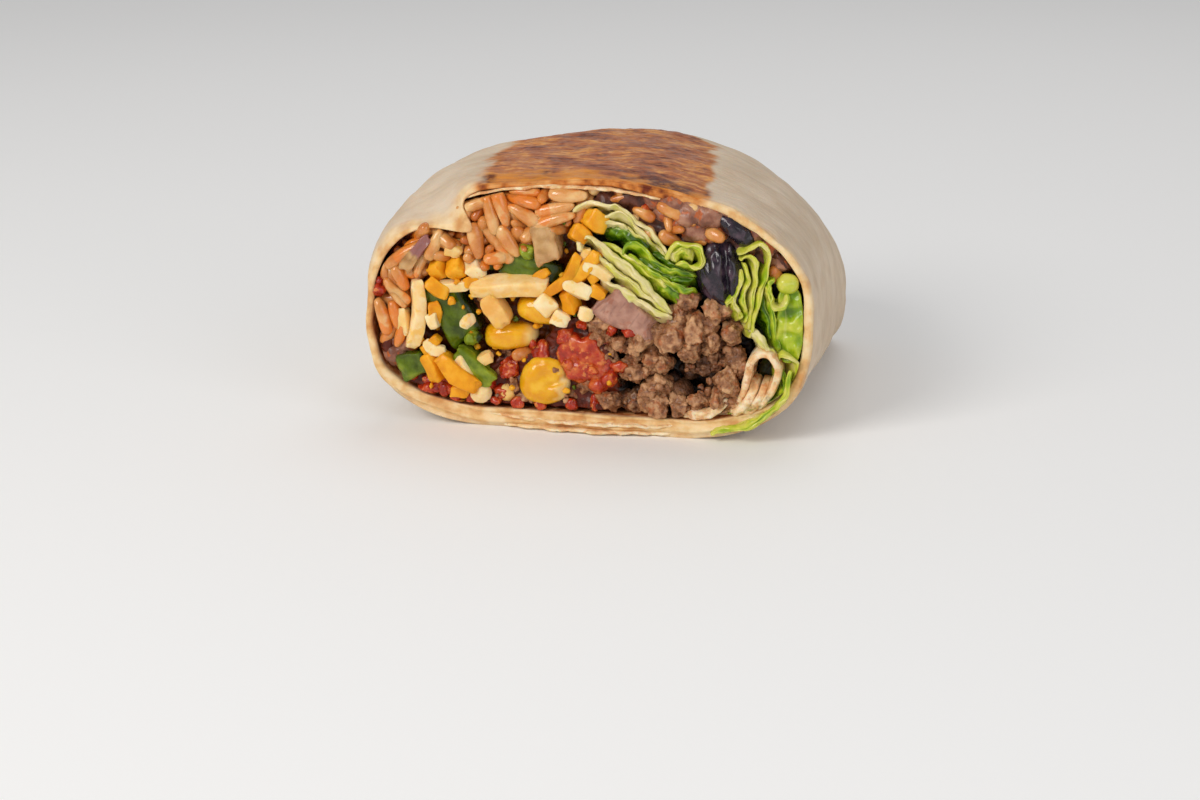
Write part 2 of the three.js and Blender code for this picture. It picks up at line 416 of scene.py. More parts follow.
def place_piece(
    mesh: Mesh, name: str, material: Material,
    nodes: Sequence[str] = (), levels: int = 0,
) -> None:
    """Puts a finished mesh in the scene as a piece of the food.

    Args:
        mesh: The mesh, in metres, where it belongs.
        name: The name of the piece.
        material: The finish.
        nodes: The solids that the piece stands for.
        levels: Levels of subdivision.
    """
    mesh.name = name
    mesh.materials.append(material)
    piece = bpy.data.objects.new(name, mesh)
    bpy.context.scene.collection.objects.link(piece)
    if levels:
        rounding = piece.modifiers.new("rounding", "SUBSURF")
        rounding.levels = levels
        rounding.render_levels = levels
    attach(piece, "root")
    if nodes:
        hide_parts(*nodes)
    log.info("%s: %d faces", name, len(mesh.polygons) * 4**levels)


class Batch:
    """Pieces of one kind, joined in one mesh."""

    def __init__(self, name: str) -> None:
        """Starts an empty mesh under the name of the piece.

        Args:
            name: The name of the piece.
        """
        self.name = name
        self.bm = bmesh.new()
        self.items: list[tuple[Array, Array, Array]] = []

    def add(
        self, template: Template, points: Array, tone: float | Array, form: Optional[Array] = None
    ) -> None:
        """Adds one item.

        Args:
            template: The starting shape.
            points: Where its vertices go, in millimetres.
            tone: A number that its material reads, kept from 0 to 1.
            form: Its own coordinates, which its material reads.
        """
        self.bm.from_mesh(template.mesh)
        tones = np.broadcast_to(np.clip(np.asarray(tone, float), 0, 1), (len(points),))
        self.items.append((points, tones, template.unit if form is None else form))

    def piece(
        self, material: Material, slot: str, nodes: Sequence[str] = (), levels: int = 0,
        within: Optional["Section"] = None,
    ) -> None:
        """Joins the items and puts the piece in the scene.

        Args:
            material: The finish.
            slot: The name of a material slot; not used.
            nodes: The solids that the piece stands for.
            levels: Levels of subdivision.
            within: Where given, the body whose wall presses the items in.
        """
        mesh = bpy.data.meshes.new(self.name)
        self.bm.to_mesh(mesh)
        self.bm.free()
        points, tone, form = (np.concatenate(kind) for kind in zip(*self.items))
        set_points(mesh, within.pressed(points) if within else points)
        mark(mesh, tone=tone, form=form)
        right_way_out(mesh)
        place_piece(mesh, self.name, material, nodes, levels)


# ---- Shader nodes ----------------------------------------------------------------------------


class Sheet:
    """A node tree, built in a few words, with the shared effects at hand."""

    def __init__(
        self, tree: Tree, effects: Optional["Effects"] = None, place: Optional[Socket] = None
    ) -> None:
        """Takes an empty tree.

        Args:
            tree: A material's tree or a group's.
            effects: The shared effects.
            place: The coordinates that patterns read, or none for the object's own, in metres.
        """
        self.tree = tree
        self.effects = effects
        self.place = place or self.node("TexCoord").outputs["Object"]

    def node(self, kind: str, *values: object, **inputs: object) -> bpy.types.Node:
        """Adds a node and fills its inputs.

        Args:
            kind: The node's type, without its ShaderNode prefix.
            values: A value or a socket for each of its first inputs.
            inputs: A value or a socket for each input by name, with _ for a space.

        Returns:
            The node.
        """
        made = self.tree.nodes.new("ShaderNode" + kind)
        for target, value in zip(made.inputs, values):
            self.feed(target, value)
        for name, value in inputs.items():
            self.feed(made.inputs[name.replace("_", " ")], value)
        return made

    def feed(self, target: Socket, value: object) -> None:
        """Links a socket to an input, or sets the input's own value.

        Args:
            target: The input.
            value: A socket, or the value itself.
        """
        if isinstance(value, bpy.types.NodeSocket):
            self.tree.links.new(value, target)
        else:
            target.default_value = value

    def kept(self, name: str, output: str = "Fac") -> Socket:
        """A value kept on the mesh.

        Args:
            name: The name it is kept under.
            output: Which output.

        Returns:
            The value.
        """
        node = self.node("Attribute")
        node.attribute_name = name
        return node.outputs[output]

    def math(self, how: str, a: object, b: object = 0.0) -> Socket:
        """One sum.

        Args:
            how: Blender's name for it.
            a: The first value.
            b: The second.

        Returns:
            The result.
        """
        node = self.node("Math", a, b)
        node.operation = how
        return node.outputs[0]

    def plus(self, a: object, b: object) -> Socket:
        """a + b."""
        return self.math("ADD", a, b)

    def less(self, a: object, b: object) -> Socket:
        """a - b."""
        return self.math("SUBTRACT", a, b)

    def times(self, a: object, b: object) -> Socket:
        """a x b."""
        return self.math("MULTIPLY", a, b)

    def part(self, vector: Socket, axis: str) -> Socket:
        """One of the three numbers of a vector, by its letter."""
        return self.node("SeparateXYZ", Vector=vector).outputs[axis]

    def span(self, value: object, low: object, high: object, start: object = 0.0, end: object = 1.0) -> Socket:
        """A value stretched from low and high to start and end, smoothly and within them.

        Args:
            value: The value.
            low: Where it starts.
            high: Where it ends.
            start: The result at low.
            end: The result at high.

        Returns:
            The result.
        """
        node = self.node("MapRange", value, low, high, start, end)
        node.interpolation_type = "SMOOTHSTEP"
        return node.outputs[0]

    def mix(self, share: object, a: object, b: object, how: str = "MIX") -> Socket:
        """Two colours mixed, b by its share.

        Args:
            share: How much of b.
            a: The first colour.
            b: The second.
            how: Blender's name for the way.

        Returns:
            The mix.
        """
        node = self.node("Mix")
        node.data_type = "RGBA"
        node.blend_type = how
        colour_a, colour_b, result = 6, 7, 2
        for index, value in ((0, share), (colour_a, a), (colour_b, b)):
            self.feed(node.inputs[index], value)
        return node.outputs[result]

    def tint(self, base: Socket, share: object, colour: Colour) -> Socket:
        """A colour with a share of a screen colour over it."""
        return self.mix(share, base, linear(colour))

    def ramp(self, value: Socket, *stops: tuple[float, Colour]) -> Socket:
        """Screen colours along a value, each at its place from 0 to 1.

        Args:
            value: The value.
            stops: Each place and its colour.

        Returns:
            The colour.
        """
        node = self.node("ValToRGB", value)
        band = node.color_ramp
        while len(band.elements) < len(stops):
            band.elements.new(0.5)
        for element, (where, colour) in zip(band.elements, stops):
            element.position = where
            element.color = linear(colour)
        return node.outputs["Color"]

    def cloud(self, size: object, detail: float) -> Socket:
        """Plain noise of a size in metres."""
        scale = self.math("DIVIDE", 1.0, size)
        return self.node("TexNoise", Vector=self.place, Scale=scale, Detail=detail).outputs[0]

    def use(self, effect: Tree, *values: object) -> Socket:
        """Places a shared effect with its own values.

        Args:
            effect: The effect.
            values: Its numbers, in its own order.

        Returns:
            What it gives.
        """
        node = self.node("Group")
        node.node_tree = effect
        for target, value in zip(node.inputs, values):
            self.feed(target, value)
        return node.outputs[0]

    def patches(self, size: float, contrast: float, place: Optional[Socket] = None) -> Socket:
        """Soft uneven patches of a size in millimetres, from 0 to 1."""
        return self.use(self.effects.patches, place or self.place, size * MM, contrast)

    def strokes(self, name: str, length: float, width: float) -> Socket:
        """Fine lines along the first of the coordinates kept under a name."""
        return self.use(self.effects.strokes, self.kept(name, "Vector"), length, width)

    def grain(self, size: float, pits: float) -> Socket:
        """Fine relief: lumps of a size in millimetres with pits between them."""
        return self.use(self.effects.grain, self.place, size * MM, pits)

    def gloss(self, size: float, wet: float, dry: float) -> Socket:
        """Patchy gloss of a size in millimetres: the roughness from wet to dry."""
        return self.use(self.effects.gloss, self.place, size * MM, wet, dry)


class Effects:
    """Effects that every finish shares, each a group from a place and a few numbers to a value."""

    def __init__(self) -> None:
        """Builds each effect once."""
        self.patches = self._made(self._patches, Size=0.003, Contrast=0.2)
        self.grain = self._made(self._grain, Size=0.0006, Pits=0.5)
        self.gloss = self._made(self._gloss, Size=0.002, Wet=0.2, Dry=0.5)
        self.strokes = self._made(self._strokes, Length=10.0, Width=1.0)

    @staticmethod
    def _made(fill: Callable[..., Socket], **inputs: float) -> Tree:
        """Makes one group.

        Args:
            fill: Adds the group's nodes to its sheet and gives their result.
            inputs: Each number that the group takes, and its first value.

        Returns:
            The group.
        """
        tree = bpy.data.node_groups.new(fill.__name__.strip("_"), "ShaderNodeTree")
        tree.interface.new_socket("Place", in_out="INPUT", socket_type="NodeSocketVector")
        for label, value in inputs.items():
            made = tree.interface.new_socket(label, in_out="INPUT", socket_type="NodeSocketFloat")
            made.default_value = value
        tree.interface.new_socket("Value", in_out="OUTPUT", socket_type="NodeSocketFloat")
        place, *numbers = list(tree.nodes.new("NodeGroupInput").outputs)[: 1 + len(inputs)]
        sheet = Sheet(tree, place=place)
        sheet.feed(tree.nodes.new("NodeGroupOutput").inputs[0], fill(sheet, *numbers))
        return tree

    @staticmethod
    def _patches(sheet: Sheet, size: Socket, contrast: Socket) -> Socket:
        """Soft uneven patches."""
        return sheet.span(sheet.cloud(size, 4.0), sheet.less(0.5, contrast), sheet.plus(0.5, contrast))

    @staticmethod
    def _grain(sheet: Sheet, size: Socket, pits: Socket) -> Socket:
        """Lumps of one size with pits between them."""
        cells = sheet.node("TexVoronoi", Vector=sheet.place, Scale=sheet.math("DIVIDE", 1.0, size)).outputs
        return sheet.plus(sheet.cloud(size, 3.0), sheet.times(sheet.less(0.6, cells["Distance"]), pits))

    @staticmethod
    def _gloss(sheet: Sheet, size: Socket, wet: Socket, dry: Socket) -> Socket:
        """Patches from wet to dry."""
        return sheet.span(sheet.cloud(size, 2.0), 0.38, 0.62, wet, dry)

    @staticmethod
    def _strokes(sheet: Sheet, length: Socket, width: Socket) -> Socket:
        """Fine lines along X.

        Args:
            sheet: The group's sheet.
            length: Along the lines.
            width: Across them.

        Returns:
            The value.
        """
        across = sheet.math("DIVIDE", 1.0, width)
        stretch = sheet.node("CombineXYZ", sheet.math("DIVIDE", 1.0, length), across, across)
        scaled = sheet.node("VectorMath", sheet.place, stretch.outputs[0])
        scaled.operation = "MULTIPLY"
        return sheet.node("TexNoise", Vector=scaled.outputs[0], Scale=1.0, Detail=3.0).outputs[0]


# ---- Finishes --------------------------------------------------------------------------------

Finishes = dict[str, Material]
SAUCE_AND_SHADE_Y = (-0.0389, -0.0337)  # where the sauce and painted shade behind the cut start to show and where they are full, in metres


@dataclass(frozen=True)
class Finish:
    """How one kind of food looks. The sizes of its patterns are in millimetres."""

    name: str
    dark: Colour
    middle: Colour
    light: Colour
    patch: float = 2.5
    patch_share: float = 0.5
    stain: Colour = (178, 84, 28)
    stain_cover: float = 0.0
    stain_size: float = 2.0
    wet: float = 0.22
    dry: float = 0.5
    grain: float = 0.7
    relief: float = 0.12
    pits: float = 0.4
    # The tint further behind the cut, partly sauce and partly painted shade, and how much of it.
    soak: Colour = (120, 44, 14)
    soak_share: float = 0.0
    glow: float = 0.25
    glow_reach: float = 1.2
    glow_colour: tuple[float, float, float] = (1.0, 0.45, 0.2)
    coat: float = 0.2
    shine: float = 0.22

    def make(self, effects: Effects) -> Material:
        """Builds the material.

        Args:
            effects: The shared effects.

        Returns:
            The material.
        """
        material = bpy.data.materials.new(self.name)
        material.use_nodes = True
        material.node_tree.nodes.clear()
        sheet = Sheet(material.node_tree, effects)
        bump = sheet.node("Bump", Strength=1.0, Distance=self.relief * MM, Height=self.height(sheet))
        shader = sheet.node(
            "BsdfPrincipled", Base_Color=self.colour(sheet), Roughness=self.roughness(sheet),
            Normal=bump.outputs[0], Subsurface_Weight=self.glow, Subsurface_Radius=self.glow_colour,
            Subsurface_Scale=self.glow_reach * MM, Coat_Weight=self.coat, Coat_Roughness=0.12,
            Specular_IOR_Level=self.shine,
        )
        sheet.node("OutputMaterial", Surface=shader.outputs[0])
        return material

    def colour(self, sheet: Sheet) -> Socket:
        """The colour: patches and the item's own tone, then a stain of sauce, and a darker tint further behind
        the cut, partly sauce and partly painted shade.

        Args:
            sheet: The material's sheet.

        Returns:
            The colour.
        """
        spread = sheet.times(sheet.patches(self.patch, 0.22), self.patch_share)
        own = sheet.times(sheet.kept("tone"), 1 - self.patch_share)
        base = sheet.ramp(sheet.plus(spread, own), (0.05, self.dark), (0.5, self.middle), (0.95, self.light))
        if self.stain_cover > 0:
            moved = sheet.node("Mapping", Vector=sheet.place, Location=(0.031, 0.007, 0.013)).outputs[0]
            blot = sheet.patches(self.stain_size, 0.16, moved)
            cover = sheet.span(blot, 1 - self.stain_cover, 1.25 - self.stain_cover, 0.0, 0.85)
            base = sheet.tint(base, cover, self.stain)
        # Further behind the cut the colour turns darker: partly sauce, partly painted shade.
        if self.soak_share > 0:
            behind = sheet.span(sheet.part(sheet.place, "Y"), *SAUCE_AND_SHADE_Y, 0.0, self.soak_share)
            base = sheet.tint(base, behind, self.soak)
        return base

    def roughness(self, sheet: Sheet) -> Socket:
        """Patchy gloss."""
        return sheet.gloss(1.6, self.wet, self.dry)

    def height(self, sheet: Sheet) -> Socket:
        """Fine relief."""
        return sheet.grain(self.grain, self.pits)


@dataclass(frozen=True)
class TortillaFinish(Finish):
    """Flour tortilla: pale, toasted in spots, fried brown on top, stained where it is cut."""

    crust_dark: Colour = (104, 46, 24)
    crust_middle: Colour = (156, 86, 50)
    crust_pale: Colour = (188, 112, 64)
    crust_light: Colour = (226, 158, 84)
    crust_edge: Colour = (220, 140, 48)
    crust_burnt: Colour = (84, 26, 14)
    toast: Colour = (196, 150, 104)
    dash: Colour = (166, 146, 112)
    crumb: Colour = (230, 190, 132)
    sauce: Colour = (190, 112, 56)
    plain_roughness: float = 0.72

    def colour(self, sheet: Sheet) -> Socket:
        """Flour, the crust with its ragged edge, the stained rim, and the soaked inside.

        Args:
            sheet: The material's sheet.

        Returns:
            The colour.
        """
        fray = sheet.times(sheet.less(sheet.patches(2.2, 0.3), 0.5), 0.22)
        fried = sheet.span(sheet.plus(sheet.kept("crust"), fray), 0.18, 0.72)
        base = sheet.mix(fried, self.flour(sheet), self.crust(sheet))
        soft = sheet.patches(3.2, 0.25)
        rim = sheet.ramp(soft, (0.0, (206, 146, 86)), (0.45, self.crumb), (1.0, (243, 218, 174)))
        brown = sheet.ramp(soft, (0.1, (110, 44, 22)), (0.45, (196, 116, 50)), (1.0, (232, 172, 104)))
        base = sheet.mix(sheet.kept("rim"), base, sheet.mix(sheet.kept("fried"), rim, brown))
        ragged = sheet.patches(1.4, 0.2)
        soaked = sheet.ramp(ragged, (0.0, (150, 78, 40)), (0.6, self.sauce), (1.0, (222, 168, 112)))
        return sheet.mix(sheet.kept("within"), base, soaked)

    def flour(self, sheet: Sheet) -> Socket:
        """The plain wrap: streaks round the roll, darker dashes, and toasted spots.

        Args:
            sheet: The material's sheet.

        Returns:
            The colour.
        """
        fine = sheet.strokes("roll", 14.0, 0.8)
        calm = sheet.kept("calm")
        streak = sheet.mix(sheet.times(calm, 0.5), sheet.strokes("roll", 26.0, 2.6), fine)
        tone = sheet.plus(sheet.times(streak, 0.7), sheet.times(sheet.patches(7, 0.25), 0.3))
        base = sheet.ramp(tone, (0.26, self.dark), (0.5, self.middle), (0.74, self.light))
        dashes = sheet.times(sheet.span(fine, 0.6, 0.74), calm)
        base = sheet.tint(base, sheet.times(dashes, 0.4), self.dash)
        return sheet.tint(base, sheet.span(sheet.patches(4.2, 0.1), 0.9, 1.3, 0.0, 0.6), self.toast)

    def crust(self, sheet: Sheet) -> Socket:
        """The fried top: streaks of light and dark brown across it, golden at its edge.

        Args:
            sheet: The material's sheet.

        Returns:
            The colour.
        """
        lines = sheet.strokes("roll", 4.0, 0.5)
        clouds = sheet.patches(6.5, 0.2)
        flecks = sheet.patches(1.2, 0.25)
        bands = sheet.times(sheet.span(sheet.strokes("roll", 6.5, 1.3), 0.34, 0.66), 0.3)
        tone = sheet.plus(sheet.plus(bands, sheet.times(clouds, 0.42)), sheet.times(flecks, 0.28))
        brown = sheet.ramp(
            tone, (0.18, self.crust_dark), (0.34, self.crust_middle), (0.62, self.crust_pale),
            (0.84, self.crust_light),
        )
        thin = sheet.times(sheet.span(lines, 0.57, 0.68), sheet.span(clouds, 0.3, 0.6))
        brown = sheet.tint(brown, sheet.times(thin, 0.6), self.crust_light)
        edges = sheet.math("ABSOLUTE", sheet.less(sheet.strokes("roll", 9.0, 2.8), 0.52))
        cracks = sheet.times(sheet.span(edges, 0.006, 0.03, 0.9, 0.0), sheet.span(clouds, 0.2, 0.7, 0.2, 1.0))
        brown = sheet.tint(brown, cracks, self.crust_light)
        flaky = sheet.kept("flaky")
        ragged = sheet.plus(sheet.kept("crust"), sheet.times(flecks, 0.3))
        ragged = sheet.less(ragged, sheet.times(flaky, 0.5))
        gold = sheet.times(sheet.span(ragged, 0.62, 1.1, 0.9, 0.0), sheet.span(flaky, 0.0, 1.0, 0.5, 1.0))
        gold = sheet.times(gold, sheet.span(lines, 0.36, 0.54, 0.4, 1.0))
        brown = sheet.tint(brown, gold, self.crust_edge)
        burnt = sheet.times(sheet.kept("burnt"), sheet.span(flecks, 0.15, 0.6, 0.5, 0.9))
        return sheet.tint(brown, burnt, self.crust_burnt)

    def roughness(self, sheet: Sheet) -> Socket:
        """Dry flour, with an oily sheen on the crust."""
        oil = sheet.times(sheet.less(self.plain_roughness, sheet.gloss(2, 0.3, 0.5)), sheet.kept("crust"))
        return sheet.less(self.plain_roughness, oil)

    def height(self, sheet: Sheet) -> Socket:
        """Fine wrinkles round the roll, and blisters on the crust.

        Args:
            sheet: The material's sheet.

        Returns:
            The height.
        """
        lines = sheet.times(sheet.strokes("roll", 9.0, 0.55), sheet.times(sheet.kept("calm"), 0.5))
        grain = sheet.times(sheet.grain(0.9, 0.2), 0.5)
        raised = sheet.times(sheet.grain(2.4, 0.5), sheet.kept("crust"))
        return sheet.plus(sheet.plus(lines, grain), raised)


@dataclass(frozen=True)
class LeafFinish(Finish):
    """Shredded lettuce: pale ribs, green leaf, with veins along it."""

    vein: Colour = (214, 214, 130)

    def colour(self, sheet: Sheet) -> Socket:
        """From rib to leaf by tone, mottled, with paler veins.

        Args:
            sheet: The material's sheet.

        Returns:
            The colour.
        """
        shift = sheet.times(sheet.less(sheet.patches(self.patch, 0.3), 0.5), self.patch_share)
        base = sheet.ramp(
            sheet.plus(sheet.kept("tone"), shift), (0.0, self.light), (0.22, (218, 206, 134)),
            (0.45, (206, 204, 74)), (0.62, (166, 186, 34)), (0.78, self.middle), (1.0, self.dark),
        )
        return sheet.tint(base, sheet.span(sheet.strokes("form", 1.6, 0.3), 0.56, 0.66, 0.0, 0.35), self.vein)


@dataclass(frozen=True)
class SidedFinish(Finish):
    """A piece with a second colour at one end, or skin on one side."""

    end: Colour = (240, 214, 150)
    axis: str = "X"
    start: float = 0.55
    full: float = 0.85
    share: float = 1.0

    def colour(self, sheet: Sheet) -> Socket:
        """The plain colour, with the second one over its end.

        Args:
            sheet: The sheet.

        Returns:
            The colour.
        """
        where = sheet.part(sheet.kept("form", "Vector"), self.axis)
        cover = sheet.span(where, self.start, self.full, 0.0, self.share)
        return sheet.tint(super().colour(sheet), cover, self.end)


@dataclass(frozen=True)
class MeatFinish(Finish):
    """Cooked beef: brown and grey, with fibres in the larger slice."""

    fibre: Colour = (122, 84, 72)

    def colour(self, sheet: Sheet) -> Socket:
        """Brown patches, with darker lines along each item's length."""
        lines = sheet.span(sheet.strokes("form", 2.5, 0.22), 0.55, 0.7, 0.0, 0.5)
        return sheet.tint(super().colour(sheet), lines, self.fibre)


@dataclass(frozen=True)
class CoreFinish(Finish):
    """What lies behind the pieces: each heap's colour, darkened to paint the shade in the gaps, and wet with
    sauce.
    """

    def colour(self, sheet: Sheet) -> Socket:
        """The heap's colour, which stands for shade and sauce, made darker in uneven patches."""
        shade = sheet.ramp(sheet.patches(self.patch, 0.3), (0.0, (120, 110, 100)), (1.0, (255, 250, 240)))
        return sheet.mix(1.0, sheet.kept("heap", "Color"), shade, "MULTIPLY")


FINISHES = (
    TortillaFinish(
        "flour_tortilla", (200, 178, 152), (214, 193, 168), (225, 207, 184), relief=0.2, glow=0.12,
        glow_reach=1, coat=0,
    ),
    Finish(
        "hem_tortilla", (220, 160, 104), (242, 206, 156), (252, 234, 204), patch=2.2, patch_share=0.8,
        stain=(206, 128, 66), stain_cover=0.16, relief=0.2, wet=0.5, dry=0.75, coat=0,
    ),
    Finish(
        "rice", (186, 94, 22), (216, 144, 72), (240, 200, 138), patch=3.4, stain=(226, 126, 34),
        stain_cover=0.3, stain_size=5, wet=0.14, dry=0.34, grain=0.9, relief=0.03, glow=0.28,
        glow_reach=1.3, coat=0.55, shine=0.4, glow_colour=(1, 0.6, 0.3), soak=(140, 58, 12), soak_share=0.9,
    ),
    Finish(
        "cheddar", (208, 124, 10), (236, 160, 22), (248, 188, 52), wet=0.3, dry=0.55, grain=0.6, relief=0.08,
        glow=0.3, glow_reach=1.5, coat=0.1,
    ),
    Finish(
        "white_cheese", (232, 172, 84), (246, 204, 130), (253, 230, 184), patch_share=0.4,
        stain=(246, 194, 94), stain_cover=0.2, wet=0.3, dry=0.55, grain=0.6, relief=0.08, glow=0.35,
        glow_reach=1.8, coat=0.1,
    ),
    SidedFinish(
        "sweetcorn", (220, 142, 6), (234, 170, 14), (246, 200, 58), patch=3, wet=0.1, dry=0.28, grain=1.4,
        relief=0.05, pits=0.1, glow=0.3, glow_reach=2, coat=0.6, axis="Z", start=0.45, full=0.9, share=0.8,
    ),
    Finish(
        "black_bean", (14, 10, 18), (36, 26, 38), (86, 64, 76), patch=2.2, patch_share=0.7, wet=0.08,
        dry=0.32, grain=0.8, pits=0.2, glow=0.05, coat=0.6, glow_colour=(0.6, 0.3, 0.5),
    ),
    Finish(
        "bean_mash", (92, 52, 38), (142, 92, 72), (182, 132, 106), patch=2.4, patch_share=0.7,
        stain=(186, 92, 40), stain_cover=0.35, wet=0.25, grain=0.9, relief=0.2, glow=0.2,
    ),
    SidedFinish(
        "green_chile", (26, 38, 2), (92, 112, 14), (164, 178, 46), end=(30, 46, 4), patch=3.6,
        patch_share=0.4, wet=0.14, dry=0.4, grain=0.8, relief=0.14, glow=0.12, coat=0.3,
        glow_colour=(0.6, 1, 0.1),
    ),
    SidedFinish(
        "onion", (158, 112, 62), (196, 152, 98), (220, 182, 132), end=(150, 98, 92), patch=2, wet=0.15,
        dry=0.35, grain=0.9, relief=0.06, glow=0.4, glow_reach=1.6, coat=0.4,
    ),
    Finish(
        "tomato", (138, 24, 6), (180, 50, 18), (212, 104, 46), patch=2, patch_share=0.75,
        stain=(230, 140, 66), stain_cover=0.18, stain_size=1.2, wet=0.08, dry=0.3, grain=0.8, relief=0.25,
        glow=0.35, glow_reach=2, coat=0.6, glow_colour=(1, 0.25, 0.1), soak=(96, 16, 8), soak_share=0.6,
    ),
    # Its near-black tint behind the cut is mostly painted shade.
    MeatFinish(
        "beef", (88, 52, 32), (158, 106, 70), (218, 168, 122), patch=1.6, patch_share=0.45,
        stain=(178, 88, 36), stain_cover=0.14, dry=0.55, grain=0.55, relief=0.22, pits=0.8, glow=0.1,
        coat=0.28, soak=(30, 16, 12), soak_share=0.85,
    ),
    MeatFinish(
        "beef_slice_meat", (128, 90, 78), (172, 126, 108), (196, 152, 132), patch=2.4, patch_share=0.6,
        stain=(160, 84, 50), stain_cover=0.12, wet=0.35, dry=0.6, grain=0.5, relief=0.1, glow=0.15, coat=0.12,
    ),
    LeafFinish(
        "lettuce", (60, 98, 8), (116, 152, 14), (238, 220, 168), patch_share=0.25, wet=0.12, dry=0.34,
        grain=1, relief=0.1, glow=0.3, glow_reach=1, coat=0.4, glow_colour=(0.9, 1, 0.25),
    ),
    # The core that shows in the gaps, painted dark as shade.
    CoreFinish(
        "filling_core", (90, 40, 22), (120, 60, 34), (150, 84, 50), patch=1.8, wet=0.2, grain=1,
        relief=0.3, glow=0.1,
    ),
)


# ---- The wrap --------------------------------------------------------------------------------


@dataclass(frozen=True)
class Section:
    """The rolled body's outline, as it runs from the cut to the folded end."""

    width: float
    height: float
    length: float
    cut_y: float
    wall: float = 1.8
    floor: float = 3.4
    sink: float = 0.6
    stations: tuple[float, ...] = (0, 5, 12, 28, 44, 56, 66, 73, 77.5, 79.4, 80)
    widths: tuple[float, ...] = (1, 1, 1, 1, 0.995, 0.985, 0.97, 0.945, 0.91, 0.87, 0.82)
    heights: tuple[float, ...] = (1, 1, 1, 1, 0.99, 0.975, 0.955, 0.92, 0.86, 0.8, 0.72)
    widest_at: tuple[float, ...] = (0.46, 0.46, 0.46, 0.44, 0.39, 0.34, 0.3, 0.27, 0.26, 0.26, 0.26)
    left: tuple[float, ...] = (2.05, 2.6, 3.1, 3.5, 3.5, 3.2, 2.8, 2.6, 2.5, 2.4, 2.3)
    right: tuple[float, ...] = (2.35, 2.35, 2.35, 2.3, 2.15, 1.95, 1.9, 1.9, 1.9, 1.9, 1.9)
    base: tuple[float, ...] = (3.3, 3.3, 3.3, 3.3, 3.3, 3.5, 4.2, 5.0, 5.6, 6.0, 6.0)

    @staticmethod
    def of_frame() -> "Section":
        """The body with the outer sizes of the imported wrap.

        Returns:
            The section.
        """
        low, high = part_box("tortilla")
        size = [(b - a) / MM for a, b in zip(low, high)]
        return Section(width=size[0], height=size[2], length=size[1], cut_y=low[1] / MM)

    def spot(self, x: float, z: float, behind: float) -> Array:
        """A place x and z across the cut, and behind it."""
        return np.array([x, self.cut_y + behind, z])

    def row(self, station: Array, column: Sequence[float]) -> Array:
        """A column of the body's table at stations between its own."""
        return np.interp(station, self.stations, column)

    def at(self, angle: Array, station: Array, inset: Array) -> tuple[Array, Array]:
        """Points of the outline.

        Args:
            angle: Round the section, 0 at +X and a quarter turn at the top.
            station: Distance from the cut.
            inset: 0 on the outside and 1 on the inside of the wall.

        Returns:
            x and z for each point.
        """
        height = self.height * self.row(station, self.heights)
        half = self.width / 2 * self.row(station, self.widths) - self.wall * inset
        middle = height * self.row(station, self.widest_at)
        floor = self.floor * inset
        c, s = np.cos(angle), np.sin(angle)
        shoulder = np.where(c > 0, self.row(station, self.right), self.row(station, self.left))
        n = np.where(s > 0, shoulder, self.row(station, self.base))
        reach = (np.abs(c) ** n + np.abs(s) ** n) ** (-1 / n)
        rise = np.where(s > 0, height - self.wall * inset - middle, middle + self.sink - floor)
        return half * reach * c, np.maximum(floor, middle + rise * reach * s)

    def slack(self, x: Array, z: Array, margin: float) -> Array:
        """How much points near the cut must shrink towards the middle to stay inside the wall.

        Args:
            x: Across the cut.
            z: Up from the table.
            margin: The room that is left to the wall.

        Returns:
            A factor up to 1 for each.
        """
        middle = self.height * self.widest_at[0]
        across = x / (self.width / 2 - self.wall - margin)
        rise = z - middle
        over = self.height - self.wall - margin - middle
        rise = np.where(rise > 0, rise / over, rise / (middle - self.floor - margin))
        n = np.where(rise > 0, np.where(x > 0, self.right[0], self.left[0]), self.base[0])
        reach = (np.abs(across) ** n + np.abs(rise) ** n) ** (1 / n)
        return np.minimum(1.0, 1 / np.maximum(reach, 1e-6))

    def clear(self, x: float, z: float, margin: float) -> bool:
        """Whether a place across the cut lies inside the wall with room to spare."""
        return self.slack(np.array([x]), np.array([z]), margin)[0] >= 1

    def pressed(self, points: Array) -> Array:
        """Points near the cut, with those in the wall pressed in against it.

        Args:
            points: Rows of x, y, z.

        Returns:
            The rows.
        """
        shrink = self.slack(points[:, 0], points[:, 2], 0.1)
        rise = (points[:, 2] - MIDDLE_HEIGHT) * shrink
        return columns(points[:, 0] * shrink, points[:, 1], MIDDLE_HEIGHT + rise)


@dataclass
class Layer:
    """A part of the food: the body that it lies in, and the finishes by name."""

    section: Section
    finishes: Finishes


